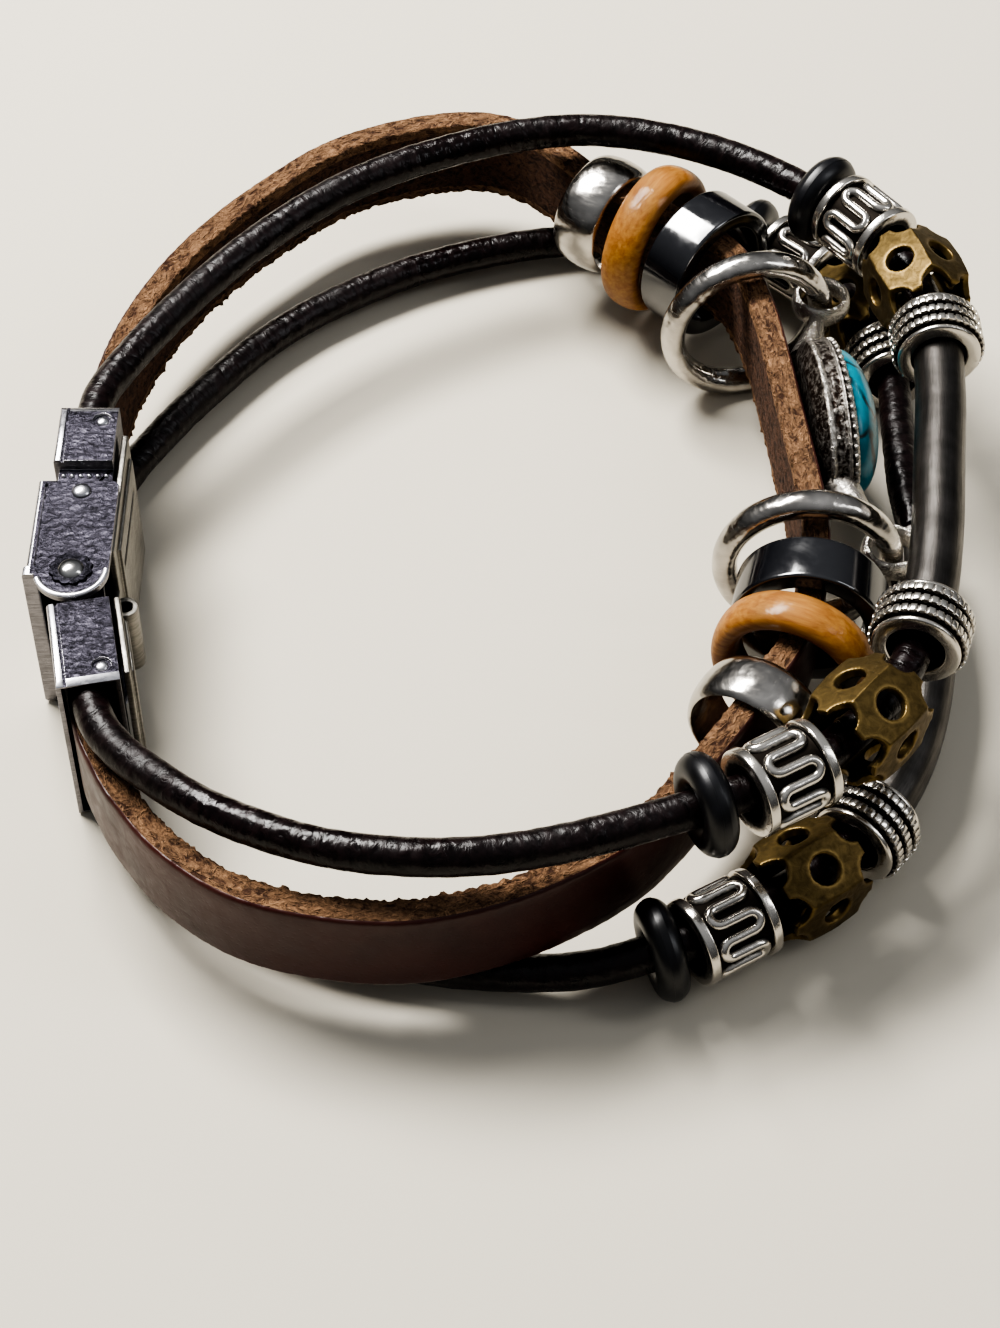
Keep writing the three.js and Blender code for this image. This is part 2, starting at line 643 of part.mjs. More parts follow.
function addCords() {
  add('cord_top', roundCord(ROUTE.top), FINISH.cord);
  add('cord_bottom', roundCord(ROUTE.bottom), FINISH.cord);
  add('leather_strap', flatStrap(ROUTE.strap), FINISH.strap);
}

function addCordPieces() {
  const shapes = {
    o_ring: [oRing(), FINISH.rubber],
    engraved_bead: [engravedBead(), FINISH.silver],
    pierced_bead: [piercedBead(), FINISH.bronze],
    ribbed_bead: [ribbedBead(), FINISH.silver],
  };
  for (const level of ['top', 'bottom']) {
    for (const row of CORD_PIECES) {
      const [geometry, material] = shapes[row.piece];
      seat(add(`${row.piece}_${level}_${row.side}`, geometry, material), ROUTE[level], row[level]);
    }
    add(`curved_tube_${level}`, curvedTube(ROUTE[level], TUBE_SPAN[level]), FINISH.gunmetal);
  }
}

function addStrapPieces() {
  const shapes = {
    rondelle: [rondelle(), FINISH.polished],
    wood_ring: [ovalRing(WOOD_RING), FINISH.wood],
    black_ring: [blackRing(), FINISH.hematite],
    big_ring: [ovalRing(BIG_RING), FINISH.polished],
  };
  for (const { piece, side, at } of STRAP_PIECES) {
    const [geometry, material] = shapes[piece];
    const mesh = add(`${piece}_${side}`, geometry, material);
    if (piece === 'big_ring') seat(mesh, ROUTE.strap, at, BIG_RING.outward, BIG_RING.outer);
    else seat(mesh, ROUTE.strap, at);
  }
}

// The setting hangs between the big rings, so its eyes go where their outer sides are.
function addStone() {
  const turquoise = add('turquoise', stone(), FINISH.turquoise);
  seat(turquoise, ROUTE.strap, STONE_STATION, 0, SETTING.z).updateMatrix();
  const toStone = turquoise.matrix.clone().invert();
  const ringSides = ['back', 'front'].map((side) => {
    const ring = bracelet.getObjectByName(`big_ring_${side}`);
    const outerSide = new THREE.Vector3((BIG_RING.inner + BIG_RING.outer) / 2, 0, 0);
    return outerSide.applyQuaternion(ring.quaternion).add(ring.position).applyMatrix4(toStone);
  });
  const holder = add('stone_setting', setting(ringSides), FINISH.silver);
  seat(holder, ROUTE.strap, STONE_STATION, 0, SETTING.z);
}

function addClasp() {
  add('clasp_back_box', backBox(), FINISH.steel);
  add('clasp_blade_back', bladeBack(), FINISH.steel);
  add('clasp_hinge_pin', hingePin(), FINISH.polished);
  const hinge = new THREE.Group();
  hinge.position.set(PIN.x, PIN.y, 0);
  add('clasp_lid', lid(), FINISH.steel, hinge);
  const frontEnd = new THREE.Group();
  frontEnd.rotation.z = THREE.MathUtils.degToRad(FRONT_BOX.turn);
  add('clasp_front_box', frontBox(), FINISH.steel, frontEnd);
  add('clasp_blade_front', bladeFront(), FINISH.steel, frontEnd);
  hinge.add(frontEnd);
  bracelet.add(hinge);
}

addCords();
addCordPieces();
addStrapPieces();
addStone();
addClasp();
bracelet.position.set(-FRAME_CENTRE.x, -FRAME_CENTRE.y, 0);

export default bracelet;
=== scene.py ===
"""A leather bracelet lying on its edge: two round cords and a flat strap, strung with metal,
wood and rubber beads and a turquoise between two big rings, in a steel clasp with a lid."""

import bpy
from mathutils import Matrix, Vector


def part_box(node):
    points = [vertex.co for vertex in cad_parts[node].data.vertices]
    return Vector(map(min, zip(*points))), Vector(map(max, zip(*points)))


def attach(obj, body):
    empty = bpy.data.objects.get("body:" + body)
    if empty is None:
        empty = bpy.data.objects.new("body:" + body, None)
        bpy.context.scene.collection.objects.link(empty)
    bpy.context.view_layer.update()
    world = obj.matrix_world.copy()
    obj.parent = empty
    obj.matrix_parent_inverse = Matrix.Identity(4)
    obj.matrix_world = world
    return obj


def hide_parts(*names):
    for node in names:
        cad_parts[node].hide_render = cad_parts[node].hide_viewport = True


bl_info = {
    "name": "Leather Bracelet",
    "version": (1, 0, 0),
    "blender": (4, 5, 0),
    "location": "3D View > Sidebar > Bracelet",
    "description": "Makes a beaded leather bracelet around the frame of its solids",
    "category": "Add Mesh",
}

from bisect import bisect_right
from itertools import accumulate, pairwise
from math import atan2, cos, hypot, pi, radians, sin, sqrt, tau

import bpy
from bpy.props import FloatProperty, FloatVectorProperty, IntProperty, PointerProperty
from mathutils import Matrix, Vector, noise

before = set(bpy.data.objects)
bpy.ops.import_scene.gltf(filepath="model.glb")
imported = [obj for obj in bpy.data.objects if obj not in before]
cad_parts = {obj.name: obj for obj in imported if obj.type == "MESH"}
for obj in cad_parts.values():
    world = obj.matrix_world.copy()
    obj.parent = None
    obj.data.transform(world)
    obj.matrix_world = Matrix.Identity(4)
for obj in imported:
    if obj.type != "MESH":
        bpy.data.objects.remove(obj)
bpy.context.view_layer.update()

# Sizes below are in mm. Z is up, and X and Y are the plan that the strands are drawn in.
MM = 0.001
PIN_PLAN = Vector((-32.0, -12.2, 0.0))

CORD_RADIUS = 1.4
STRAP_HEIGHT, STRAP_THICKNESS = 7.7, 2.2
CLASP_HEIGHT, CLASP_WALL, STEP_DOWN = 15.1, 0.35, 1.0
SETTING_Z, STONE_STATION = 8.6, 106.5

# Centre lines of the strands, from the back box round the loop to the front box.
CORD_TOP_ROUTE = [
    (-32.2, 0.4, 13.05), (-32.3, 4.5, 13.05), (-31.9, 8.2, 13.05), (-29.9, 12.6, 13.1),
    (-27.4, 16.8, 13.3), (-24.3, 21.1, 13.6), (-20.6, 25.4, 14.0), (-16.8, 29.0, 14.4),
    (-12.6, 32.1, 14.8), (-6.6, 35.4, 15.0), (1.4, 38.4, 15.0), (8.0, 39.2, 15.0),
    (15.5, 37.6, 15.0), (21.5, 34.6, 15.0), (26.8, 30.4, 15.0), (31.0, 25.6, 15.0),
    (33.9, 20.0, 15.0), (35.0, 13.9, 15.0), (34.8, 7.0, 15.0), (33.9, -1.0, 15.0),
    (32.9, -9.0, 15.0), (31.4, -16.5, 15.0), (29.1, -22.4, 15.0), (25.0, -27.9, 15.0),
    (19.9, -31.9, 15.0), (14.8, -34.2, 15.0), (9.1, -36.3, 15.0), (3.8, -37.9, 15.0),
    (-1.4, -38.8, 15.0), (-6.7, -38.8, 14.9), (-13.0, -37.4, 14.4), (-20.1, -33.8, 13.5),
    (-24.6, -30.4, 13.15), (-27.2, -28.0, 13.05), (-28.85, -25.7, 13.05),
    (-29.75, -23.2, 13.05), (-30.45, -19.6, 13.05),
]
CORD_BOTTOM_ROUTE = [
    (-32.2, 0.4, 2.05), (-32.2, 4.5, 2.05), (-31.3, 9.4, 2.05), (-28.3, 15.2, 2.1),
    (-25.2, 19.9, 2.1), (-20.2, 26.4, 2.1), (-15.2, 30.9, 2.1), (-7.2, 35.8, 2.1),
    (1.4, 38.8, 2.1), (8.5, 39.9, 2.1), (15.9, 39.6, 2.9), (22.5, 37.4, 3.95),
    (27.6, 33.2, 4.2), (31.3, 27.4, 4.2), (33.2, 20.7, 4.2), (33.2, 13.8, 4.2),
    (33.1, 7.0, 4.2), (33.6, 0.5, 4.2), (33.9, -5.5, 4.2), (33.2, -13.0, 4.2),
    (31.3, -20.5, 4.2), (28.8, -25.8, 4.2), (25.3, -30.3, 4.2), (20.6, -34.0, 4.2),
    (15.5, -37.4, 4.15), (11.1, -39.1, 3.95), (6.1, -40.0, 3.0), (-0.5, -39.6, 2.1),
    (-7.5, -38.6, 2.1), (-14.5, -36.4, 2.1), (-20.5, -32.8, 2.1), (-24.6, -29.9, 2.05),
    (-27.2, -27.8, 2.05), (-28.8, -25.7, 2.05), (-29.75, -23.2, 2.05), (-30.45, -19.6, 2.05),
]
STRAP_ROUTE = [
    (-32.2, 0.4, 7.55), (-32.3, 4.5, 7.55), (-32.2, 10.4, 7.55), (-31.2, 16.4, 7.55),
    (-28.8, 23.4, 7.55), (-25.2, 29.8, 7.65), (-20.2, 35.9, 7.75), (-14.2, 41.4, 7.85),
    (-7.2, 44.3, 7.95), (-1.7, 44.8, 8.05), (2.4, 43.1, 8.2), (5.6, 39.9, 8.3),
    (8.4, 36.6, 8.4), (12.9, 33.1, 8.4), (17.1, 30.0, 8.4), (20.1, 26.1, 8.4),
    (21.7, 20.6, 8.4), (22.7, 13.5, 8.4), (23.4, 7.0, 8.4), (24.1, 0.5, 8.4),
    (24.4, -4.6, 8.4), (24.0, -9.2, 8.4), (22.4, -15.4, 8.4), (19.3, -20.9, 8.4),
    (16.2, -25.6, 8.3), (12.9, -30.2, 8.2), (9.4, -34.1, 8.05), (4.9, -37.2, 7.95),
    (-0.3, -39.6, 7.85), (-6.5, -40.95, 7.75), (-13.0, -40.4, 7.65), (-18.7, -38.5, 7.55),
    (-23.5, -34.9, 7.55), (-26.4, -31.3, 7.55), (-28.1, -28.6, 7.55), (-29.1, -26.0, 7.55),
    (-29.75, -23.2, 7.55), (-30.45, -19.6, 7.55),
]

# Distance of each piece along its strand.
CORD_STATIONS = {
    "o_ring": {"top": {"back": 82.9, "front": 157.8}, "bottom": {"back": 76.6, "front": 166.5}},
    "engraved_bead": {
        "top": {"back": 87.7, "front": 151.9}, "bottom": {"back": 81.6, "front": 161.6},
    },
    "pierced_bead": {
        "top": {"back": 95.6, "front": 143.6}, "bottom": {"back": 89.4, "front": 154.1},
    },
    "ribbed_bead": {
        "top": {"back": 102.5, "front": 133.9}, "bottom": {"back": 96.4, "front": 147.4},
    },
}
TUBE_SPAN = {"top": (103.9, 132.8), "bottom": (117.0, 146.4)}
STRAP_STATIONS = {
    "rondelle": {"back": 74.5, "front": 138.4},
    "wood_ring": {"back": 79.8, "front": 131.9},
    "black_ring": {"back": 85.1, "front": 126.2},
    "big_ring": {"back": 92.7, "front": 120.4},
}


# ---------------------------------------------------------------- strands and places
def frame_centre():
    """Where the plan's origin lies from the frame's, found from the hinge pin."""
    low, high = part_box("clasp_hinge_pin")
    middle = (low + high) / 2 / MM
    return Vector((PIN_PLAN.x - middle.x, PIN_PLAN.y - middle.y, 0.0))


PLAN_TO_FRAME = Matrix.Scale(MM, 4) @ Matrix.Translation(-frame_centre())


class Strand:
    """A smooth centre line through the points of a route, measured in mm along it."""

    SAMPLES, CHORD = 2400, 0.3

    def __init__(self, rows):
        points = [Vector(row) for row in rows]
        first, last = 2 * points[0] - points[1], 2 * points[-1] - points[-2]
        self.points = [first, *points, last]
        self.spots = [self.curve(i / self.SAMPLES) for i in range(self.SAMPLES + 1)]
        steps = ((b - a).length for a, b in pairwise(self.spots))
        self.marks = list(accumulate(steps, initial=0.0))
        self.length = self.marks[-1]

    def curve(self, share):
        """A point of the centripetal Catmull-Rom curve, at this share of its spans."""
        spans = len(self.points) - 3
        span = min(int(share * spans), spans - 1)
        t = share * spans - span
        a, b, c, d = self.points[span:span + 4]
        before, within, after = (sqrt((q - p).length) for p, q in ((a, b), (b, c), (c, d)))
        leave = (b - a) / before - (c - a) / (before + within) + (c - b) / within
        arrive = (c - b) / within - (d - b) / (within + after) + (d - c) / after
        leave, arrive = leave * within, arrive * within
        square = 3 * (c - b) - 2 * leave - arrive
        cube = 2 * (b - c) + leave + arrive
        return b + leave * t + square * t**2 + cube * t**3

    def at(self, mm):
        """The point this far along the strand."""
        mm = min(max(mm, 0.0), self.length)
        i = min(bisect_right(self.marks, mm) - 1, self.SAMPLES - 1)
        share = (mm - self.marks[i]) / (self.marks[i + 1] - self.marks[i])
        return self.spots[i].lerp(self.spots[i + 1], share)

    def along(self, mm):
        """The strand's direction there, from a short chord."""
        return (self.at(mm + self.CHORD / 2) - self.at(mm - self.CHORD / 2)).normalized()

    def seat(self, mm, outward=0.0, height=None):
        """A piece's place: its Z along the strand, its X out of the loop and its Y up."""
        along = self.along(mm)
        out = Vector((0, 0, 1)).cross(along).normalized()
        place = self.at(mm) + outward * out
        if height is not None:
            place.z = height
        turn = Matrix((out, along.cross(out), along)).transposed().to_4x4()
        return Matrix.Translation(place) @ turn


STRANDS = {
    "top": Strand(CORD_TOP_ROUTE),
    "bottom": Strand(CORD_BOTTOM_ROUTE),
    "strap": Strand(STRAP_ROUTE),
}


# ---------------------------------------------------------------- modelling
def add_to_scene(name, data):
    """A new object that holds this mesh, light or camera."""
    thing = bpy.data.objects.new(name, data)
    bpy.context.scene.collection.objects.link(thing)
    return thing


def pick_only(*pieces):
    """Selects these pieces and nothing else, the first of them active."""
    bpy.ops.object.select_all(action="DESELECT")
    for piece in pieces:
        piece.select_set(True)
    bpy.context.view_layer.objects.active = pieces[0]


def from_points(name, points, edges=(), faces=()):
    """A new piece from points and the edges or faces between them."""
    mesh = bpy.data.meshes.new(name)
    mesh.from_pydata(points, edges, faces)
    piece = add_to_scene(name, mesh)
    pick_only(piece)
    return piece


def primitive(add, name, **settings):
    """Adds a primitive by itself and puts its size and place into its mesh."""
    bpy.ops.object.select_all(action="DESELECT")
    add(**settings)
    bpy.ops.object.transform_apply()
    bpy.context.object.name = name
    return bpy.context.object


SELECT_MODES = {
    "vertices": (True, False, False),
    "edges": (False, True, False),
    "polygons": (False, False, True),
}


def edit(piece, work, choose=lambda part: True, parts="polygons"):
    """Works in edit mode on the faces, or other parts, that choose() picks."""
    pick_only(piece)
    bpy.context.tool_settings.mesh_select_mode = SELECT_MODES[parts]
    bpy.ops.object.mode_set(mode="EDIT")
    bpy.ops.mesh.select_all(action="DESELECT")
    bpy.ops.object.mode_set(mode="OBJECT")
    for part in getattr(piece.data, parts):
        part.select = choose(part)
    bpy.ops.object.mode_set(mode="EDIT")
    work()
    bpy.ops.object.mode_set(mode="OBJECT")


def swell(piece, rise, choose):
    """Raises the faces that choose() picks along their normals, with walls round them."""
    move = {"value": rise}
    edit(
        piece,
        lambda: bpy.ops.mesh.extrude_region_shrink_fatten(TRANSFORM_OT_shrink_fatten=move),
        choose,
    )


def modify(piece, kind, **settings):
    """Adds a modifier and applies it."""
    modifier = piece.modifiers.new(kind.title(), kind)
    for key, value in settings.items():
        setattr(modifier, key, value)
    pick_only(piece)
    bpy.ops.object.modifier_apply(modifier=modifier.name)


def soften(piece, degrees, width, segments, **settings):
    """Bevels every edge that turns more sharply than this."""
    modify(
        piece, "BEVEL", limit_method="ANGLE", angle_limit=radians(degrees), width=width,
        segments=segments, **settings,
    )


def round_edges(piece, choose, width, segments):
    """Rounds over the edges whose two ends choose() accepts."""
    corners = piece.data.vertices
    edit(
        piece,
        lambda: bpy.ops.mesh.bevel(offset=width, segments=segments, affect="EDGES"),
        lambda edge: choose(*(corners[i].co for i in edge.vertices)),
        "edges",
    )


def weld(piece):
    """Merges doubles and turns every face outwards."""
    def work():
        bpy.ops.mesh.remove_doubles(threshold=0.001)
        bpy.ops.mesh.normals_make_consistent(inside=False)

    edit(piece, work)


def combine(piece, tool, operation="UNION"):
    """Joins another piece to this one, or cuts this one with it, and uses it up."""
    modify(piece, "BOOLEAN", object=tool, operation=operation, solver="EXACT")
    bpy.data.objects.remove(tool)


def joined(pieces):
    """The pieces as one mesh."""
    pick_only(*pieces)
    bpy.ops.object.join()
    return pieces[0]


def rounded(corners, radius, steps=4):
    """A closed outline with each corner rounded off."""
    corners = [Vector(corner) for corner in corners]
    outline = []
    for i, corner in enumerate(corners):
        before, after = corners[i - 1] - corner, corners[(i + 1) % len(corners)] - corner
        start = corner + before.normalized() * min(radius, 0.45 * before.length)
        end = corner + after.normalized() * min(radius, 0.45 * after.length)
        for step in range(steps + 1):
            t = step / steps
            outline.append(start.lerp(corner, t).lerp(corner.lerp(end, t), t))
    return outline


def oval(centre, across, along, power):
    """An oval of (radius, z) points about a middle radius, squarer the lower its power."""
    points, steps = [], 32
    for i in range(steps):
        angle = tau * i / steps
        x, y = (abs(v) ** power * (1 if v > 0 else -1) for v in (cos(angle), sin(angle)))
        points.append((centre + across * x, along * y))
    return points


def turned(name, section, steps):
    """A ring turned about Z from a closed half section of (radius, z) points."""
    points = [(r, 0.0, z) for r, z in section]
    edges = [(i, (i + 1) % len(points)) for i in range(len(points))]
    piece = from_points(name, points, edges)

    def spin():
        bpy.ops.mesh.select_all(action="SELECT")
        bpy.ops.mesh.spin(steps=steps, angle=tau, center=(0, 0, 0), axis=(0, 0, 1))

    edit(piece, spin, parts="vertices")
    weld(piece)
    return piece


def lofted(name, rings, looped=False):
    """A closed skin over rings of equal count: capped at both ends, or looped on itself."""
    count = len(rings[0])
    points = [point for ring in rings for point in ring]
    faces = []
    rows = len(rings) if looped else len(rings) - 1
    for row in range(rows):
        here, there = row * count, (row + 1) % len(rings) * count
        for i in range(count):
            j = (i + 1) % count
            faces.append((here + i, here + j, there + j, there + i))
    if not looped:
        faces.append(tuple(range(count))[::-1])
        faces.append(tuple(len(points) - count + i for i in range(count)))
    piece = from_points(name, points, faces=faces)
    edit(piece, lambda: bpy.ops.mesh.normals_make_consistent(inside=False))
    return piece


def block(name, xs, ys, zs):
    """A plain box between these sides, to be shaped or cut with."""
    return primitive(
        bpy.ops.mesh.primitive_cube_add, name, size=1,
        location=[(a + b) / 2 for a, b in (xs, ys, zs)],
        scale=[b - a for a, b in (xs, ys, zs)],
    )


def post(name, centre, radius, zs, sides=32):
    """A plain upright cylinder between two heights, to be shaped or cut with."""
    return primitive(
        bpy.ops.mesh.primitive_cylinder_add, name, vertices=sides, radius=radius,
        depth=zs[1] - zs[0], location=(*centre, (zs[0] + zs[1]) / 2),
    )


def slab(name, outline, zs):
    """A plate of this plan outline between two heights."""
    points = [(x, y, zs[0]) for x, y in outline]
    piece = from_points(name, points, faces=[tuple(range(len(points)))])
    rise = {"value": (0, 0, zs[1] - zs[0])}
    edit(piece, lambda: bpy.ops.mesh.extrude_region_move(TRANSFORM_OT_translate=rise))
    weld(piece)
    return piece


def mark(piece, name, value_of):
    """Writes a value for each point, which the finishes read as an attribute."""
    attribute = piece.data.attributes.new(name, "FLOAT", "POINT")
    attribute.data.foreach_set("value", [value_of(v.co) for v in piece.data.vertices])


def mark_own_place(piece, places=None):
    """Keeps each point's place on the unbent, unseated piece, for patterns that follow it."""
    attribute = piece.data.attributes.new("own_place", "FLOAT_VECTOR", "POINT")
    places = places or [vertex.co for vertex in piece.data.vertices]
    attribute.data.foreach_set("vector", [c * MM for place in places for c in place])


def copy_of(piece):
    """A copy of a piece, with its own mesh."""
    return add_to_scene(piece.name, piece.data.copy())


def clothe(piece, *materials):
    """Gives a piece its finishes, in the order of its material slots."""
    piece.data.materials.clear()
    for material in materials:
        piece.data.materials.append(material)


def finish_piece(piece, node, seat=None, body="bracelet", smooth=40.0, name=None):
    """Shades the piece, puts it in its place and hands it to its body, for its node."""
    pick_only(piece)
    bpy.ops.object.shade_smooth_by_angle(angle=radians(smooth))
    piece.name = piece.data.name = name or f"{node}_piece"
    piece.data.transform(PLAN_TO_FRAME @ (seat or Matrix.Identity(4)))
    piece.data.update()
    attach(piece, body)
    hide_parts(node)


# ---------------------------------------------------------------- finishes
def linear(code):
    """An sRGB hex colour turned to linear light."""
    values = [int(code[i:i + 2], 16) / 255 for i in (1, 3, 5)]
    return tuple(v / 12.92 if v <= 0.04045 else ((v + 0.055) / 1.055) ** 2.4 for v in values)


def tint(colour, share=1.0):
    """A colour made lighter or darker, with its alpha."""
    return (*(min(1.0, c * share) for c in colour), 1.0)


def per_mm(size):
    """The pattern scale whose features are this many mm apart."""
    return 1 / (size * MM)


def feed(tree, node, inputs):
    """Gives a node its inputs: a link where the value is a socket, and else the value itself."""
    for key, value in inputs.items():
        if isinstance(value, bpy.types.NodeSocket):
            tree.links.new(value, node.inputs[key])
        else:
            node.inputs[key].default_value = value


def add_node(tree, kind, inputs=None, **settings):
    """Adds a node with its settings, its values and its links."""
    node = tree.nodes.new(kind)
    for key, value in settings.items():
        setattr(node, key, value)
    feed(tree, node, inputs or {})
    return node


# A Mix node keeps its colour and vector sockets under these numbers.
FACTOR, SIDE_A, SIDE_B, BLENDED = 0, 6, 7, 2
VECTOR_A, VECTOR_B, BLENDED_VECTOR = 4, 5, 1


def new_finish(name, coords="Object"):
    """A material with an empty node tree, its shader and the place that patterns read."""
    material = bpy.data.materials.new(name)
    material.use_nodes = True
    tree = material.node_tree
    tree.nodes.clear()
    shader = add_node(tree, "ShaderNodeBsdfPrincipled")
    add_node(tree, "ShaderNodeOutputMaterial", {"Surface": shader.outputs["BSDF"]})
    if coords == "Object":
        place = add_node(tree, "ShaderNodeTexCoord").outputs["Object"]
    else:
        place = add_node(tree, "ShaderNodeAttribute", attribute_name=coords).outputs["Vector"]
    return material, tree, shader, place


def noise_at(place, size, detail=2.0, rough=0.5, twist=0.0):
    """The inputs of a noise whose lumps are this many mm across."""
    return {
        "Vector": place, "Scale": per_mm(size), "Detail": detail, "Roughness": rough,
        "Distortion": twist,
    }


def ranged(value, low, high, to_low=0.0, to_high=1.0):
    """The inputs that stretch a value between two limits to two new ones."""
    return {
        "Value": value, "From Min": low, "From Max": high, "To Min": to_low, "To Max": to_high,
    }


def glazed_cowhide(colour):
    """Dyed, plated cowhide: an even satin face with fine pores and slow cloudy dye."""
    material, tree, shader, place = new_finish("glazed_cowhide", "own_place")
    cloud = add_node(tree, "ShaderNodeTexNoise", noise_at(place, 9.0, 3.0))
    share = add_node(tree, "ShaderNodeMapRange", ranged(cloud.outputs["Fac"], 0.35, 0.68))
    dye = add_node(tree, "ShaderNodeMix", data_type="RGBA", inputs={
        FACTOR: share.outputs["Result"], SIDE_A: tint(colour, 0.72), SIDE_B: tint(colour, 1.35),
    })
    pores = add_node(tree, "ShaderNodeTexVoronoi", feature="F1", inputs={
        "Vector": place, "Scale": per_mm(0.42), "Randomness": 1.0,
    })
    pits = add_node(tree, "ShaderNodeMapRange", ranged(pores.outputs["Distance"], 0.05, 0.35))
    creases = add_node(tree, "ShaderNodeTexNoise", noise_at(place, 1.3, 5.0, 0.6, 0.6))
    height = add_node(tree, "ShaderNodeMath", operation="MULTIPLY_ADD", inputs={
        0: pits.outputs["Result"], 1: 0.35, 2: creases.outputs["Fac"],
    })
    bump = add_node(tree, "ShaderNodeBump", {
        "Height": height.outputs[0], "Strength": 0.22, "Distance": 0.12 * MM,
    })
    sheen = add_node(
        tree, "ShaderNodeMapRange", ranged(creases.outputs["Fac"], 0.3, 0.7, 0.32, 0.46)
    )
    feed(tree, shader, {
        "Base Color": dye.outputs[BLENDED], "Roughness": sheen.outputs["Result"],
        "IOR": 1.42, "Normal": bump.outputs["Normal"],
    })
    return material


def raw_hide(name, pale, dark, fibre, depth, drawn):
    """Undyed split hide: matt tangled fibre drawn along the strap, pale tufts over dark pits."""
    material, tree, shader, place = new_finish(name, "own_place")
    lain = add_node(tree, "ShaderNodeMapping", {"Vector": place, "Scale": (1, 1, drawn)})
    tufts = add_node(
        tree, "ShaderNodeTexNoise", noise_at(lain.outputs["Vector"], fibre, 6.0, 0.66, 0.7)
    )
    hairs = add_node(
        tree, "ShaderNodeTexNoise",
        noise_at(lain.outputs["Vector"], fibre * 0.3, 3.0, 0.6, 0.3),
    )
    curls = add_node(tree, "ShaderNodeTexNoise", noise_type="RIDGED_MULTIFRACTAL", inputs={
        **noise_at(lain.outputs["Vector"], fibre * 1.3, 2.0, 0.5, 0.9), "Offset": 1.0, "Gain": 2.0,
    })
    strands = add_node(tree, "ShaderNodeMapRange", ranged(curls.outputs["Fac"], 1.2, 1.7))
    cloud = add_node(tree, "ShaderNodeTexNoise", noise_at(place, 5.0, 2.0))
    pits = add_node(tree, "ShaderNodeMapRange", ranged(tufts.outputs["Fac"], 0.38, 0.55))
    lit = add_node(tree, "ShaderNodeMath", operation="MULTIPLY_ADD", inputs={
        0: hairs.outputs["Fac"], 1: 1.4, 2: cloud.outputs["Fac"],
    })
    worn = add_node(tree, "ShaderNodeMapRange", ranged(lit.outputs[0], 0.9, 1.5))
    body = add_node(tree, "ShaderNodeMix", data_type="RGBA", inputs={
        FACTOR: worn.outputs["Result"], SIDE_A: tint(pale, 0.62), SIDE_B: tint(pale, 1.3),
    })
    ground = add_node(tree, "ShaderNodeMix", data_type="RGBA", inputs={
        FACTOR: pits.outputs["Result"], SIDE_A: tint(dark), SIDE_B: body.outputs[BLENDED],
    })
    colour = add_node(tree, "ShaderNodeMix", data_type="RGBA", inputs={
        FACTOR: strands.outputs["Result"], SIDE_A: ground.outputs[BLENDED],
        SIDE_B: tint(pale, 1.5),
    })
    height = add_node(tree, "ShaderNodeMath", operation="MULTIPLY_ADD", inputs={
        0: strands.outputs["Result"], 1: 0.3, 2: tufts.outputs["Fac"],
    })
    bump = add_node(tree, "ShaderNodeBump", {
        "Height": height.outputs[0], "Strength": depth, "Distance": 0.6 * MM,
    })
    feed(tree, shader, {
        "Base Color": colour.outputs[BLENDED], "Roughness": 0.93, "IOR": 1.4,
        "Normal": bump.outputs["Normal"],
    })
    return material


def rolled_cord_leather(colour):
    """Round leather lace, dyed through and waxed: near black, pebbled, with broken highlights."""
    material, tree, shader, place = new_finish("rolled_cord_leather", "own_place")
    cells = add_node(tree, "ShaderNodeTexVoronoi", feature="SMOOTH_F1", inputs={
        "Vector": place, "Scale": per_mm(0.8), "Smoothness": 0.5,
    })
    rolled = add_node(tree, "ShaderNodeMapping", {"Vector": place, "Scale": (1, 1, 1.7)})
    wrinkle = add_node(
        tree, "ShaderNodeTexNoise",
        noise_at(rolled.outputs["Vector"], 1.3, 4.0, 0.55, 0.6),
    )
    height = add_node(tree, "ShaderNodeMath", operation="MULTIPLY_ADD", inputs={
        0: cells.outputs["Distance"], 1: -0.4, 2: wrinkle.outputs["Fac"],
    })
    bump = add_node(tree, "ShaderNodeBump", {
        "Height": height.outputs[0], "Strength": 0.6, "Distance": 0.24 * MM,
    })
    worn = add_node(tree, "ShaderNodeMapRange", ranged(wrinkle.outputs["Fac"], 0.38, 0.66))
    dye = add_node(tree, "ShaderNodeMix", data_type="RGBA", inputs={
        FACTOR: worn.outputs["Result"], SIDE_A: tint(colour, 0.5), SIDE_B: tint(colour, 1.5),
    })
    wax = add_node(
        tree, "ShaderNodeMapRange", ranged(wrinkle.outputs["Fac"], 0.32, 0.68, 0.12, 0.26)
    )
    handled = add_node(tree, "ShaderNodeTexNoise", noise_at(place, 14.0))
    rubbed = add_node(
        tree, "ShaderNodeMapRange", ranged(handled.outputs["Fac"], 0.4, 0.62, 0.24, 0.0)
    )
    shine = add_node(tree, "ShaderNodeMath", operation="ADD", inputs={
        0: wax.outputs["Result"], 1: rubbed.outputs["Result"],
    })
    feed(tree, shader, {
        "Base Color": dye.outputs[BLENDED], "Roughness": shine.outputs[0], "IOR": 1.36,
        "Normal": bump.outputs["Normal"],
    })
    return material


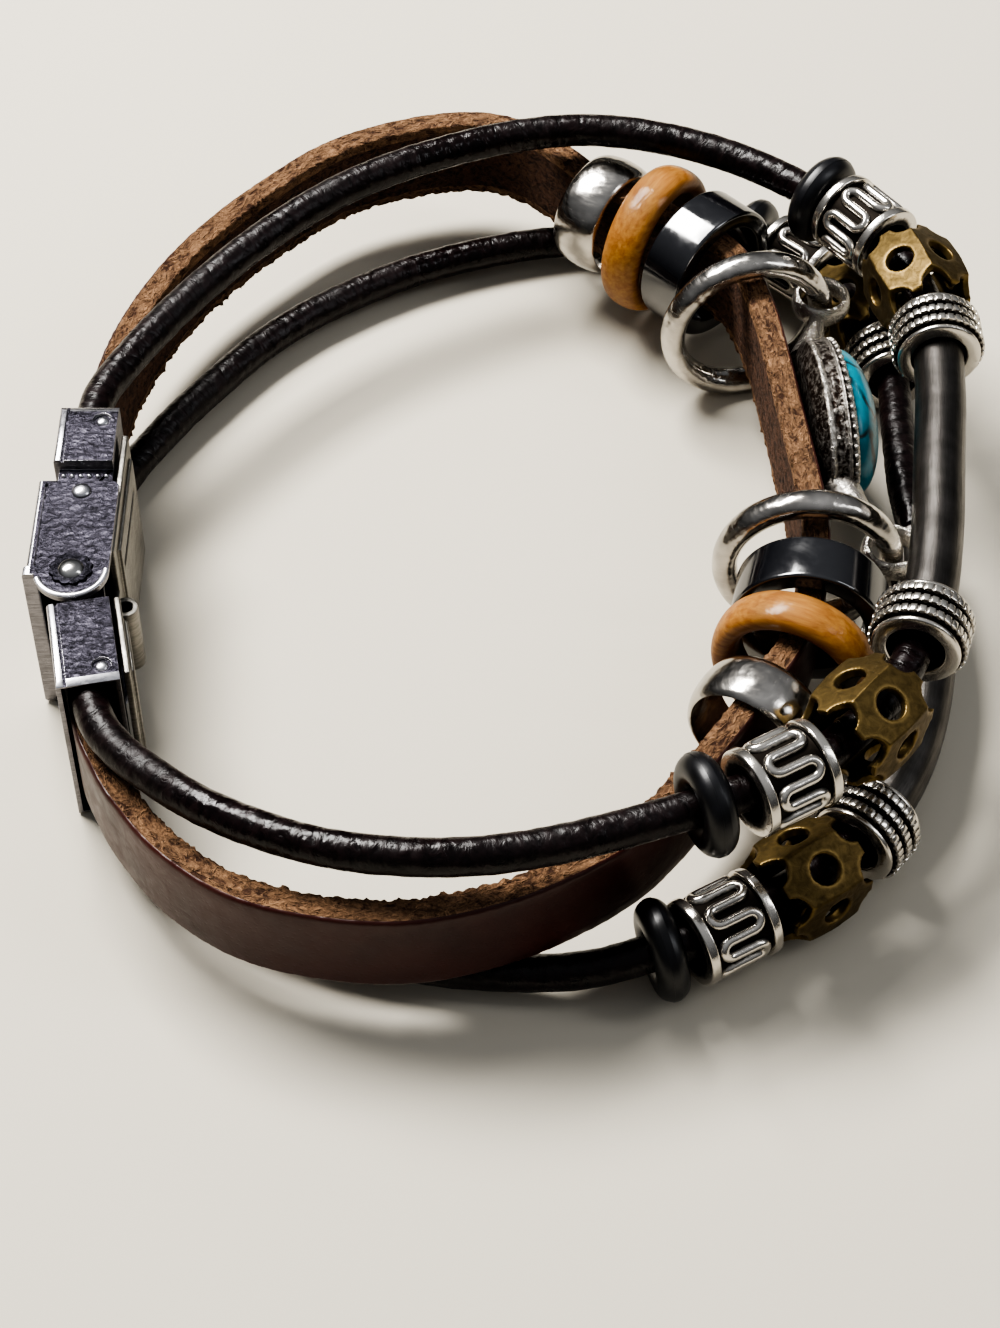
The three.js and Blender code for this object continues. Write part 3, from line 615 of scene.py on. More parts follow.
def black_rubber(colour):
    """Moulded nitrile rubber: soft black with a faint bloom."""
    material, tree, shader, place = new_finish("black_rubber")
    bloom = add_node(tree, "ShaderNodeTexNoise", noise_at(place, 1.2, 4.0, 0.6))
    share = add_node(tree, "ShaderNodeMapRange", ranged(bloom.outputs["Fac"], 0.4, 0.75))
    body = add_node(tree, "ShaderNodeMix", data_type="RGBA", inputs={
        FACTOR: share.outputs["Result"], SIDE_A: tint(colour), SIDE_B: tint(colour, 3.0),
    })
    bump = add_node(tree, "ShaderNodeBump", {
        "Height": bloom.outputs["Fac"], "Strength": 0.12, "Distance": 0.1 * MM,
    })
    feed(tree, shader, {
        "Base Color": body.outputs[BLENDED], "Roughness": 0.36, "IOR": 1.5,
        "Normal": bump.outputs["Normal"],
    })
    return material


# The value of "raised" with its grime at which a metal is half bright.
HALF_BUFFED = 0.78


def antique_metal(name, bright, dark, shine, pitting=0.25, grain=0.7, spread=0.45):
    """Cast metal, blackened and then buffed: bright where it is raised, dark in the recesses."""
    material, tree, shader, place = new_finish(name)
    raised = add_node(tree, "ShaderNodeAttribute", attribute_name="raised")
    grime = add_node(tree, "ShaderNodeTexNoise", noise_at(place, grain, 5.0, 0.65, 0.5))
    uneven = add_node(tree, "ShaderNodeMath", operation="MULTIPLY_ADD", inputs={
        0: grime.outputs["Fac"], 1: 0.7, 2: raised.outputs["Fac"],
    })
    buffed = add_node(
        tree, "ShaderNodeMapRange",
        ranged(uneven.outputs[0], HALF_BUFFED - spread / 2, HALF_BUFFED + spread / 2),
    )
    colour = add_node(tree, "ShaderNodeMix", data_type="RGBA", inputs={
        FACTOR: buffed.outputs["Result"], SIDE_A: tint(dark), SIDE_B: tint(bright),
    })
    polish = add_node(
        tree, "ShaderNodeMapRange", ranged(buffed.outputs["Result"], 0, 1, 0.6, shine)
    )
    bump = add_node(tree, "ShaderNodeBump", {
        "Height": grime.outputs["Fac"], "Strength": pitting, "Distance": 0.1 * MM,
    })
    feed(tree, shader, {
        "Base Color": colour.outputs[BLENDED], "Metallic": 0.95,
        "Roughness": polish.outputs["Result"], "Normal": bump.outputs["Normal"],
    })
    return material


def polished_metal(name, colour, shine, wave=0.05, scratch=0.15, coords="Object", brushed=0.0,
                   patchy=0.6):
    """Plated metal, tumbled or brushed: a mirror with a slight wave, hair lines and dull spots."""
    material, tree, shader, place = new_finish(name, coords)
    dents = add_node(tree, "ShaderNodeTexNoise", noise_at(place, 2.2, 2.0))
    run = (6, 6, 0.35) if coords == "own_place" else (1, 1, 9)
    hairs = add_node(tree, "ShaderNodeMapping", {"Vector": place, "Scale": run})
    marks = add_node(
        tree, "ShaderNodeTexNoise", noise_at(hairs.outputs["Vector"], 1.4, 6.0, 0.7, 0.4)
    )
    film = add_node(
        tree, "ShaderNodeMapRange",
        ranged(marks.outputs["Fac"], 0.35, 0.72, shine, shine + scratch),
    )
    both = add_node(tree, "ShaderNodeMath", operation="MULTIPLY_ADD", inputs={
        0: marks.outputs["Fac"], 1: brushed, 2: dents.outputs["Fac"],
    })
    dull = add_node(
        tree, "ShaderNodeMapRange",
        ranged(both.outputs[0], 0.32 + brushed / 2, 0.68 + brushed / 2),
    )
    body = add_node(tree, "ShaderNodeMix", data_type="RGBA", inputs={
        FACTOR: dull.outputs["Result"], SIDE_A: tint(colour), SIDE_B: tint(colour, patchy),
    })
    bump = add_node(tree, "ShaderNodeBump", {
        "Height": both.outputs[0], "Strength": wave, "Distance": 0.5 * MM,
    })
    feed(tree, shader, {
        "Base Color": body.outputs[BLENDED], "Metallic": 1.0,
        "Roughness": film.outputs["Result"], "Normal": bump.outputs["Normal"],
    })
    return material


def varnished_wood(colour):
    """Turned hardwood under amber varnish: fine end-to-end grain, dark brown to honey, with
    painted shade that darkens it towards the bore.
    """
    material, tree, shader, place = new_finish("varnished_wood", "own_place")
    drawn = add_node(tree, "ShaderNodeMapping", {"Vector": place, "Scale": (0.12, 1.0, 1.0)})
    fibres = add_node(
        tree, "ShaderNodeTexNoise", noise_at(drawn.outputs["Vector"], 0.45, 5.0, 0.6, 0.3)
    )
    cloud = add_node(tree, "ShaderNodeTexNoise", noise_at(place, 5.5, 2.0, 0.5, 0.5))
    streak = add_node(tree, "ShaderNodeMapRange", ranged(fibres.outputs["Fac"], 0.34, 0.66))
    honey = add_node(tree, "ShaderNodeMapRange", ranged(cloud.outputs["Fac"], 0.3, 0.66))
    body = add_node(tree, "ShaderNodeMix", data_type="RGBA", inputs={
        FACTOR: honey.outputs["Result"], SIDE_A: tint(colour, 0.68), SIDE_B: tint(colour, 1.08),
    })
    grain = add_node(tree, "ShaderNodeMix", data_type="RGBA", blend_type="MULTIPLY", inputs={
        FACTOR: streak.outputs["Result"], SIDE_A: body.outputs[BLENDED],
        SIDE_B: (0.66, 0.52, 0.38, 1.0),
    })
    # Painted shade: the colour darkens towards the bore, where the ring's inner face lies in
    # shade. Its edge is mottled by the cloud.
    round_axis = add_node(tree, "ShaderNodeMapping", {"Vector": place, "Scale": (1, 1, 0)})
    radius = add_node(tree, "ShaderNodeVectorMath", operation="LENGTH", inputs={
        0: round_axis.outputs["Vector"],
    })
    mottled = add_node(tree, "ShaderNodeMath", operation="MULTIPLY_ADD", inputs={
        0: cloud.outputs["Fac"], 1: -1.2 * MM, 2: radius.outputs["Value"],
    })
    painted_bore_shade = add_node(
        tree, "ShaderNodeMapRange", ranged(mottled.outputs[0], 4.3 * MM, 6.1 * MM, 1.0, 0.0)
    )
    # Painted shade: near the bore the grain colour is multiplied by this brown.
    bore_shaded = add_node(tree, "ShaderNodeMix", data_type="RGBA", blend_type="MULTIPLY", inputs={
        FACTOR: painted_bore_shade.outputs["Result"], SIDE_A: grain.outputs[BLENDED],
        SIDE_B: (0.42, 0.3, 0.2, 1.0),
    })
    bump = add_node(tree, "ShaderNodeBump", {
        "Height": fibres.outputs["Fac"], "Strength": 0.25, "Distance": 0.2 * MM,
    })
    feed(tree, shader, {
        "Base Color": bore_shaded.outputs[BLENDED], "Roughness": 0.7, "IOR": 1.4,
        "Coat Weight": 0.3, "Coat Roughness": 0.05, "Coat Normal": bump.outputs["Normal"],
        "Normal": bump.outputs["Normal"],
    })
    return material


def polished_hematite(colour):
    """Cut and polished hematite: black with a metallic mirror."""
    material, tree, shader, place = new_finish("polished_hematite")
    smear = add_node(tree, "ShaderNodeTexNoise", noise_at(place, 2.5, 5.0, 0.7, 0.5))
    film = add_node(
        tree, "ShaderNodeMapRange", ranged(smear.outputs["Fac"], 0.4, 0.75, 0.07, 0.24)
    )
    body = add_node(tree, "ShaderNodeMix", data_type="RGBA", inputs={
        FACTOR: smear.outputs["Fac"], SIDE_A: tint(colour, 0.6), SIDE_B: tint(colour, 1.5),
    })
    feed(tree, shader, {
        "Base Color": body.outputs[BLENDED], "Roughness": film.outputs["Result"], "IOR": 2.1,
    })
    return material


def turquoise_stone(colour):
    """Polished turquoise: even blue-green, crossed by thin dark veins of its mother rock."""
    material, tree, shader, place = new_finish("turquoise_stone")
    drift = add_node(tree, "ShaderNodeTexNoise", noise_at(place, 2.6, 3.0, 0.6))
    bent = add_node(tree, "ShaderNodeMix", data_type="VECTOR", inputs={
        FACTOR: 2.2 * MM, VECTOR_A: place, VECTOR_B: drift.outputs["Color"],
    })
    webs = add_node(tree, "ShaderNodeTexVoronoi", feature="DISTANCE_TO_EDGE", inputs={
        "Vector": bent.outputs[BLENDED_VECTOR], "Scale": per_mm(4.2), "Randomness": 1.0,
    })
    line = add_node(tree, "ShaderNodeMapRange", ranged(webs.outputs["Distance"], 0.02, 0.09, 1, 0))
    gaps = add_node(tree, "ShaderNodeTexNoise", noise_at(place, 3.4, 2.0))
    broken = add_node(tree, "ShaderNodeMapRange", ranged(gaps.outputs["Fac"], 0.36, 0.5))
    vein = add_node(tree, "ShaderNodeMath", operation="MULTIPLY", inputs={
        0: line.outputs["Result"], 1: broken.outputs["Result"],
    })
    hue = add_node(tree, "ShaderNodeMapRange", ranged(drift.outputs["Fac"], 0.3, 0.7))
    body = add_node(tree, "ShaderNodeMix", data_type="RGBA", inputs={
        FACTOR: hue.outputs["Result"], SIDE_A: tint(colour, 0.72), SIDE_B: tint(colour, 1.3),
    })
    stone = add_node(tree, "ShaderNodeMix", data_type="RGBA", inputs={
        FACTOR: vein.outputs[0], SIDE_A: body.outputs[BLENDED], SIDE_B: (0.012, 0.022, 0.026, 1),
    })
    bump = add_node(tree, "ShaderNodeBump", {
        "Height": vein.outputs[0], "Strength": -0.25, "Distance": 0.1 * MM,
    })
    feed(tree, shader, {
        "Base Color": stone.outputs[BLENDED], "Roughness": 0.33, "IOR": 1.5,
        "Coat Weight": 0.08, "Coat Roughness": 0.16, "Normal": bump.outputs["Normal"],
    })
    return material


def wrinkled_steel(name, colour):
    """Stamped steel with a wrinkled dark plating: grey with a violet cast, finely creased."""
    material, tree, shader, place = new_finish(name)
    drawn = add_node(tree, "ShaderNodeMapping", {"Vector": place, "Scale": (0.66, 1.0, 1.0)})
    wrinkle = add_node(
        tree, "ShaderNodeTexNoise", noise_at(drawn.outputs["Vector"], 0.4, 5.0, 0.64, 0.8)
    )
    cloud = add_node(tree, "ShaderNodeTexNoise", noise_at(place, 2.4, 3.0, 0.6))
    mixed = add_node(tree, "ShaderNodeMath", operation="MULTIPLY_ADD", inputs={
        0: cloud.outputs["Fac"], 1: 0.5, 2: wrinkle.outputs["Fac"],
    })
    crest = add_node(tree, "ShaderNodeMapRange", ranged(mixed.outputs[0], 0.58, 0.96))
    body = add_node(tree, "ShaderNodeMix", data_type="RGBA", inputs={
        FACTOR: crest.outputs["Result"], SIDE_A: tint(colour, 0.38), SIDE_B: tint(colour, 1.4),
    })
    bump = add_node(tree, "ShaderNodeBump", {
        "Height": wrinkle.outputs["Fac"], "Strength": 0.7, "Distance": 0.26 * MM,
    })
    feed(tree, shader, {
        "Base Color": body.outputs[BLENDED], "Metallic": 1.0, "Roughness": 0.36,
        "Normal": bump.outputs["Normal"],
    })
    return material


# ---------------------------------------------------------------- sizes and colours
def distance(name, mm, description):
    """A size that the panel shows in the scene's unit, given here in mm."""
    return FloatProperty(
        name=name, description=description, default=mm * MM, min=0.0, unit="LENGTH", precision=5
    )


def paint(name, code, description):
    """A colour that the panel shows as a swatch, given here as an sRGB hex value."""
    return FloatVectorProperty(
        name=name, description=description, default=linear(code), size=3, min=0.0, max=1.0,
        subtype="COLOR",
    )


USUAL_FRAY = 0.2


class BraceletSizes(bpy.types.PropertyGroup):
    """Sizes that can be set in the panel."""

    cord_lumps: distance("Cord lumps", 0.05, "How far the lumps of a cord stand up")
    strap_fray: distance("Strap fray", USUAL_FRAY, "How ragged the strap's flesh-side corners are")
    meander_width: distance("Meander width", 0.84, "Width of the raised line on an engraved bead")
    rib_teeth: IntProperty(
        name="Rib teeth", description="Teeth round each rib of a ribbed bead", default=34, min=8,
    )
    hole_radius: distance("Pierced hole", 1.15, "Radius of the holes in a pierced bead")
    rondelle_dome: distance("Rondelle dome", 0.66, "How far a rondelle bulges past its faces")
    bezel_beads: IntProperty(
        name="Bezel beads", description="Beads round the rim of the setting", default=54, min=12,
    )
    clasp_edge: distance("Clasp edge", 0.14, "Width of the worn edges of the clasp")


class BraceletColours(bpy.types.PropertyGroup):
    """Colours that can be set in the panel."""

    strap_face: paint("Strap face", "#3b1914", "Dye of the strap's outer face")
    cut_edge: paint("Cut edge", "#8d6c50", "Raw edge of the strap")
    flesh_side: paint("Flesh side", "#573d2e", "Inner side of the strap")
    cord: paint("Cord", "#14090a", "Dye of the two cords")
    rubber: paint("Rubber", "#08080b", "O-rings")
    silver: paint("Silver", "#cfcac2", "Engraved beads, ribbed beads and setting")
    bronze: paint("Bronze", "#73613e", "Pierced beads")
    gunmetal: paint("Gunmetal", "#5c5956", "Curved tubes")
    plated: paint("Bright plate", "#cfcac3", "Big rings and rondelles")
    wood: paint("Wood", "#b07f3e", "Wood rings")
    hematite: paint("Hematite", "#0e0e12", "Black rings")
    turquoise: paint("Turquoise", "#15788a", "The stone")
    clasp: paint("Clasp", "#44424a", "Stamped faces of the clasp")


def sizes():
    """The sizes that the panel shows."""
    return bpy.context.scene.bracelet_sizes


def colours():
    """The colours that the panel shows."""
    return bpy.context.scene.bracelet_colours


def in_mm(metres):
    """A size from the panel in the mm that the pieces are drawn in."""
    return metres / MM


def ramp(value, low, high):
    """0 up to low, 1 from high on, and an even rise between them."""
    return min(max((value - low) / (high - low), 0.0), 1.0)


# ---------------------------------------------------------------- strap and cords
FACE, CUT, FLESH = 0, 1, 2
# A face between two parts takes the rougher of them.
ROUGHER = {FACE: 0, FLESH: 1, CUT: 2}
# How far a point of each part is drawn in at most, as a share of its way from the middle.
ROUGHNESS = {"face": 0.012, "shoulder": 0.02, "cut": 0.09, "corner": 0.2, "flesh": 0.06}
STRAP_STEP, SHOULDER, INNER_CORNER = 0.26, 0.42, 0.14
CORD_STEP, CORD_SIDES = 0.33, 32
CORD_SKIN = CORD_RADIUS - 0.02
# Inside the clasp the strap lies nearer the outer plate: by all of it up to near from its end.
END_SHIFT = {"by": 0.5, "near": 4.0, "far": 9.0}


def strap_section():
    """Points round the strap as (out, up, roughness, part), from the foot of the outer face."""
    half, deep = STRAP_HEIGHT / 2, STRAP_THICKNESS / 2
    face = [(deep, (i / 4 - 1) * (half - SHOULDER), ROUGHNESS["face"], FACE) for i in range(9)]
    edge = []
    for i in range(1, 4):
        angle = i * pi / 8
        out, up = deep - SHOULDER * (1 - cos(angle)), half - SHOULDER * (1 - sin(angle))
        edge.append((out, up, ROUGHNESS["shoulder"], FACE))
    for i in range(9):
        out = deep - SHOULDER - i / 8 * (2 * deep - SHOULDER - 0.1)
        edge.append((out, half, ROUGHNESS["cut"], CUT))
    edge.append((-deep, half - INNER_CORNER, ROUGHNESS["corner"], CUT))
    inner, slack = half - INNER_CORNER, ROUGHNESS["flesh"]
    flesh = [(-deep, (1 - i / 5) * inner, slack, FLESH) for i in range(1, 10)]
    return [*face, *edge, *flesh, *((out, -up, *rest) for out, up, *rest in reversed(edge))]


def end_shift(along, length):
    """How far the strap lies towards the outer plate at this place."""
    share = 1 - ramp(min(along, length - along), END_SHIFT["near"], END_SHIFT["far"])
    return END_SHIFT["by"] * share * share * (3 - 2 * share)


def strap_ring(strand, along, section, fray):
    """One ring of points round the strap, and where they lie on the strap pulled straight."""
    seat = strand.seat(along, end_shift(along, strand.length))
    ring, own = [], []
    for i, (out, up, rough, _) in enumerate(section):
        spot = Vector((along * 1.9, i * 0.55, 3.0))
        tuft = noise.noise(spot) + 0.6 * noise.noise(spot * 2.3) + 0.5 * noise.noise(spot * 0.45)
        drawn_in = rough * (tuft + 0.45) * fray
        sag = 0.02 * noise.noise(Vector((along * 0.2, up * 0.3, 9.0)))
        place = Vector((out * (1 - drawn_in) + sag, up * (1 - drawn_in / 2), 0.0))
        ring.append(seat @ place)
        own.append(place + Vector((0, 0, along)))
    return ring, own


def cord_ring(strand, along, lumps):
    """One ring of points round a cord, and where they lie on the cord pulled straight."""
    seat = strand.seat(along)
    ring, own = [], []
    for i in range(CORD_SIDES):
        angle = tau * i / CORD_SIDES
        across = Vector((cos(angle), sin(angle), 0.0))
        spot = Vector((across.x * 1.3, across.y * 1.3, along * 0.9))
        lump = noise.noise(spot) + 0.5 * noise.noise(spot * 2.1)
        place = across * (CORD_SKIN + lumps * lump)
        ring.append(seat @ place)
        own.append(place + Vector((0, 0, along)))
    return ring, own


def strand_piece(name, strand, step, ring_at):
    """A closed skin through rings along a strand, with each point's place on it unbent."""
    rows = round(strand.length / step)
    made = [ring_at(strand.length * i / rows) for i in range(rows + 1)]
    piece = lofted(name, [ring for ring, _ in made])
    mark_own_place(piece, [place for _, own in made for place in own])
    return piece


def make_strap():
    """The flat strap, with its outer face, cut edges and flesh side."""
    strand, section, colour = STRANDS["strap"], strap_section(), colours()
    fray = in_mm(sizes().strap_fray) / USUAL_FRAY
    strap = strand_piece(
        "strap", strand, STRAP_STEP, lambda along: strap_ring(strand, along, section, fray)
    )
    clothe(
        strap,
        glazed_cowhide(colour.strap_face),
        raw_hide("raw_cut_hide", colour.cut_edge, linear("#432b1e"), 0.58, 1.2, 0.5),
        raw_hide("brushed_flesh_side", colour.flesh_side, linear("#22130c"), 0.6, 0.9, 0.7),
    )
    parts = [part for *_, part in section]
    caps = 2
    for face in strap.data.polygons[:-caps]:
        i = face.index % len(parts)
        face.material_index = max(parts[i], parts[(i + 1) % len(parts)], key=ROUGHER.get)
    finish_piece(strap, "leather_strap", smooth=180.0, name="strap_leather")


def make_cords():
    """The two round cords."""
    leather = rolled_cord_leather(colours().cord)
    lumps = in_mm(sizes().cord_lumps)
    for level in ("top", "bottom"):
        strand, node = STRANDS[level], f"cord_{level}"
        cord = strand_piece(
            node, strand, CORD_STEP, lambda along, of=strand: cord_ring(of, along, lumps)
        )
        clothe(cord, leather)
        finish_piece(cord, node, smooth=60.0, name=f"{node}_leather")


# ---------------------------------------------------------------- beads on the cords
def string_beads(bead, kind):
    """Copies a bead to its four places on the cords."""
    for level, sides in CORD_STATIONS[kind].items():
        for side, along in sides.items():
            seat = STRANDS[level].seat(along)
            finish_piece(copy_of(bead), f"{kind}_{level}_{side}", seat)
    bpy.data.objects.remove(bead)


O_RING = {"radius": 2.6, "wire": 1.22, "flash": 0.03}


def make_o_rings():
    """The four rubber rings, each with its moulding line."""
    radius, wire, flash = O_RING.values()
    ring = primitive(
        bpy.ops.mesh.primitive_torus_add, "o_ring", major_segments=64, minor_segments=28,
        major_radius=radius, minor_radius=wire,
    )
    swell(ring, flash, lambda face: hypot(*face.center[:2]) > radius + wire - flash)
    clothe(ring, black_rubber(colours().rubber))
    string_beads(ring, "o_ring")


ENGRAVED = {"half": 3.0, "bore": 2.0, "core": 2.82, "rim": 3.35, "rim_width": 0.75}
MEANDER = {"strokes": 14, "radius": 3.1, "from_rim": 0.12, "sunk": 0.42, "arch": 0.62}


def meander_line():
    """The closed line of the meander as (angle, z): straight strokes joined by round turns."""
    pitch = tau / MEANDER["strokes"]
    turn = pitch * MEANDER["radius"] / 2
    ground = ENGRAVED["half"] - ENGRAVED["rim_width"] - MEANDER["from_rim"]
    reach = ground - turn - in_mm(sizes().meander_width) / 2
    line = []
    for stroke in range(MEANDER["strokes"]):
        side = 1 if stroke % 2 == 0 else -1
        line += [(stroke * pitch, side * reach * (k / 4 - 1)) for k in range(8)]
        for k in range(8):
            angle = pi * k / 8
            line.append((
                (stroke + 0.5) * pitch - pitch / 2 * cos(angle),
                side * (reach + turn * sin(angle)),
            ))
    return line


def meander_ribbon():
    """The raised line: a low arch carried along the meander, with its foot in the bead."""
    half, radius = in_mm(sizes().meander_width) / 2, MEANDER["radius"]
    line = [Vector((radius * sin(turn), radius * cos(turn), z)) for turn, z in meander_line()]
    rings = []
    for i, here in enumerate(line):
        radial = Vector((here.x, here.y, 0.0)).normalized()
        run = line[(i + 1) % len(line)] - line[i - 1]
        aside = radial.cross(run).normalized()
        ring = []
        for k in range(9):
            angle = pi * k / 8
            rise = MEANDER["arch"] * sin(angle) ** 0.7 - MEANDER["sunk"]
            ring.append(here - aside * half * cos(angle) + radial * rise)
        rings.append(ring)
    return lofted("meander", rings, looped=True)


def make_engraved_beads():
    """The four beads with a raised winding line in a sunken band."""
    half, bore, core, rim, wide = ENGRAVED.values()
    section = rounded([
        (bore, -half), (rim - 0.05, -half), (rim, -half + wide), (core, -half + wide),
        (core, half - wide), (rim, half - wide), (rim - 0.05, half), (bore, half),
    ], 0.17)
    bead = joined([turned("engraved_bead", section, 96), meander_ribbon()])
    mark(bead, "raised", engraved_relief)
    clothe(bead, antique_metal("antique_silver", colours().silver, linear("#221e1a"), 0.18))
    string_beads(bead, "engraved_bead")


def engraved_relief(spot):
    """Bright on the rims and on top of the line, dark on the ground and in the bore."""
    radius = hypot(spot.x, spot.y)
    if radius < ENGRAVED["bore"] + 0.3:
        return 0.0
    at_rim = abs(spot.z) > ENGRAVED["half"] - ENGRAVED["rim_width"] + 0.05
    return 1.0 if at_rim and radius > ENGRAVED["core"] + 0.18 else ramp(radius, 2.9, 3.15)


PIERCED = {"half": 3.55, "end": 3.85, "middle": 4.2, "wall": 0.9}
DRILL_LENGTH, DRILL_SIDES = 10.0, 40


def hexed(spot):
    """The share of a round section's radius that a six-sided one has at this angle."""
    angle = (atan2(spot.x, spot.y) + pi / 6) % (pi / 3) - pi / 6
    return cos(pi / 6) / cos(pi / 6 - abs(angle))


def pierced_barrel():
    """A six-sided barrel, a little wider at its middle, with its bore through it."""
    half, end, middle, wall = PIERCED.values()
    rows = [half * (k / 6 - 1) for k in range(13)]
    outside = [(end + (middle - end) * (1 - (z / half) ** 2), z) for z in rows]
    section = outside + [(r - wall, z) for r, z in reversed(outside)]
    barrel = turned("pierced_bead", section, 96)
    for vertex in barrel.data.vertices:
        vertex.co.xy *= hexed(vertex.co)
    return barrel


def drill_lines():
    """Angle and height of each drill that crosses the bead."""
    half = PIERCED["half"]
    for i in range(3):
        edge = i * pi / 3
        yield edge + pi / 6, 0.0
        yield edge, -half
        yield edge, half


def make_pierced_beads():
    """The four six-sided barrels with round holes drilled through."""
    barrel = pierced_barrel()
    radius = in_mm(sizes().hole_radius)
    for angle, z in drill_lines():
        drill = primitive(
            bpy.ops.mesh.primitive_cylinder_add, "drill", vertices=DRILL_SIDES, radius=radius,
            depth=DRILL_LENGTH, location=(0, 0, z), rotation=(pi / 2, 0, angle),
        )
        combine(barrel, drill, "DIFFERENCE")
    modify(barrel, "REMESH", mode="VOXEL", voxel_size=0.11)
    modify(barrel, "SMOOTH", factor=0.5, iterations=5)
    mark(barrel, "raised", lambda spot: pierced_relief(spot, radius))
    clothe(barrel, antique_metal(
        "antique_bronze", colours().bronze, linear("#2e2616"), 0.42, 0.5, spread=0.6
    ))
    string_beads(barrel, "pierced_bead")


def pierced_relief(spot, radius):
    """Bright on the rims of the holes and the ends, dull on the panels, dark inside."""
    across = hypot(spot.x, spot.y)
    outside = (PIERCED["end"] - 0.45) * hexed(spot)
    if across < outside:
        return 0.0
    near = min(hole_distance(spot, angle, z) for angle, z in drill_lines())
    rim = 1 - min(abs(near - radius - 0.1) / 0.3, 1.0)
    end = 1 - min((PIERCED["half"] - abs(spot.z)) / 0.3, 1.0)
    return 0.4 + 0.4 * max(rim, end)


def hole_distance(spot, angle, z):
    """Distance of a point from the axis of a drill."""
    axis = Vector((-sin(angle), cos(angle), 0.0))
    offset = spot - Vector((0, 0, z))
    return (offset - axis * offset.dot(axis)).length


RIBBED = {"half": 2.1, "bore": 2.16, "rib": 3.72, "groove": 3.18, "collar": 0.42, "ribs": 3}
# A tooth and the gap before it are four faces wide, and the gap is within this share of them.
TOOTH = {"faces": 4, "rise": 0.16, "gap": 0.3}
TOOTH_FOOT = RIBBED["rib"] - TOOTH["rise"]


def ribbed_section():
    """Half the bead's section: a rolled collar at each end and the feet of the ribs between."""
    half, bore, _, groove, collar, ribs = RIBBED.values()
    pitch = 2 * (half - collar) / ribs
    rib = ((0.0, groove), (0.14, groove), (0.22, TOOTH_FOOT), (0.78, TOOTH_FOOT), (0.86, groove))
    outside = [
        (r, collar - half + i * pitch + share * pitch) for i in range(ribs) for share, r in rib
    ]
    end = [
        (bore, 0.12 - half), (bore + 0.1, -half), (groove - 0.1, -half),
        (groove + 0.14, 0.1 - half), (groove + 0.16, collar - half - 0.06),
    ]
    return [*end, *outside, *((r, -z) for r, z in reversed(end))]


def make_ribbed_beads():
    """The four beads with toothed ribs and rolled collars."""
    teeth = sizes().rib_teeth
    bead = turned("ribbed_bead", ribbed_section(), teeth * TOOTH["faces"])

    def on_tooth(face):
        turn = (atan2(face.center.y, face.center.x) / tau * teeth) % 1.0
        return hypot(*face.center[:2]) > TOOTH_FOOT - 0.03 and turn > TOOTH["gap"]

    swell(bead, TOOTH["rise"], on_tooth)
    soften(bead, 40, 0.055, 2)
    mark(bead, "raised", ribbed_relief)
    clothe(bead, antique_metal("beaded_silver", colours().silver, linear("#241d18"), 0.2))
    string_beads(bead, "ribbed_bead")


def ribbed_relief(spot):
    """Bright on the teeth and on the collars at the ends, dark in the grooves and the bore."""
    radius = hypot(spot.x, spot.y)
    if abs(spot.z) > RIBBED["half"] - RIBBED["collar"] + 0.04:
        return 0.7 if radius > RIBBED["bore"] + 0.05 else 0.2
    return min(ramp(radius, TOOTH_FOOT - 0.1, TOOTH_FOOT + 0.1), 0.85)


TUBE = {"outer": 2.0, "inner": 1.72, "rim": 0.09, "rim_width": 0.7}
TUBE_STEPS, TUBE_SIDES = 90, 48


def tube_radius(share, span):
    """The tube's outside, with a rolled rim at each end."""
    from_end = min(share, 1 - share) * span
    return TUBE["outer"] + TUBE["rim"] * max(0.0, 1 - from_end / TUBE["rim_width"])


def tube_ring(seat, radius):
    """A round ring of points across a tube."""
    angles = (tau * i / TUBE_SIDES for i in range(TUBE_SIDES))
    return [seat @ Vector((radius * cos(a), radius * sin(a), 0.0)) for a in angles]


def make_curved_tubes():
    """The two tubes, each bent along its cord."""
    metal = polished_metal(
        "satin_gunmetal", colours().gunmetal, 0.28, 0.1, 0.2, "own_place", brushed=1.2
    )
    shares = [i / TUBE_STEPS for i in range(TUBE_STEPS + 1)]
    for level, (start, end) in TUBE_SPAN.items():
        strand, span, node = STRANDS[level], end - start, f"curved_tube_{level}"
        walls = [(s * span, tube_radius(s, span)) for s in shares]
        walls += [(s * span, TUBE["inner"]) for s in reversed(shares)]
        rings = [tube_ring(strand.seat(start + along), radius) for along, radius in walls]
        tube = lofted(node, rings, looped=True)
        straight = [tube_ring(Matrix.Translation((0, 0, along)), r) for along, r in walls]
        mark_own_place(tube, [place for ring in straight for place in ring])
        soften(tube, 50, 0.08, 3)
        clothe(tube, metal)
        finish_piece(tube, node)


# ---------------------------------------------------------------- rings on the strap
def thread_rings(ring, kind, slot, outward=0.0, height=None):
    """Copies a ring to its two places on the strap."""
    for side, along in STRAP_STATIONS[kind].items():
        seat = STRANDS["strap"].seat(along, outward, height)
        finish_piece(copy_of(ring), f"{kind}_{side}", seat)
    bpy.data.objects.remove(ring)


RONDELLE = {"half": 2.2, "bore": 4.32, "face": 4.4, "edge": 0.06}
WOOD_RING = {"radius": 5.45, "across": 1.05, "half": 1.8}
BLACK_RING = {"half": 2.1, "bore": 4.4, "outer": 5.95, "edge": 0.32}
BIG_RING = {"radius": 6.5, "across": 1.0, "half": 1.2}
# The big rings stand on the table, a little inwards of the strap's centre line.
BIG_RING_PLACE = {"outward": -0.3, "height": 7.5}


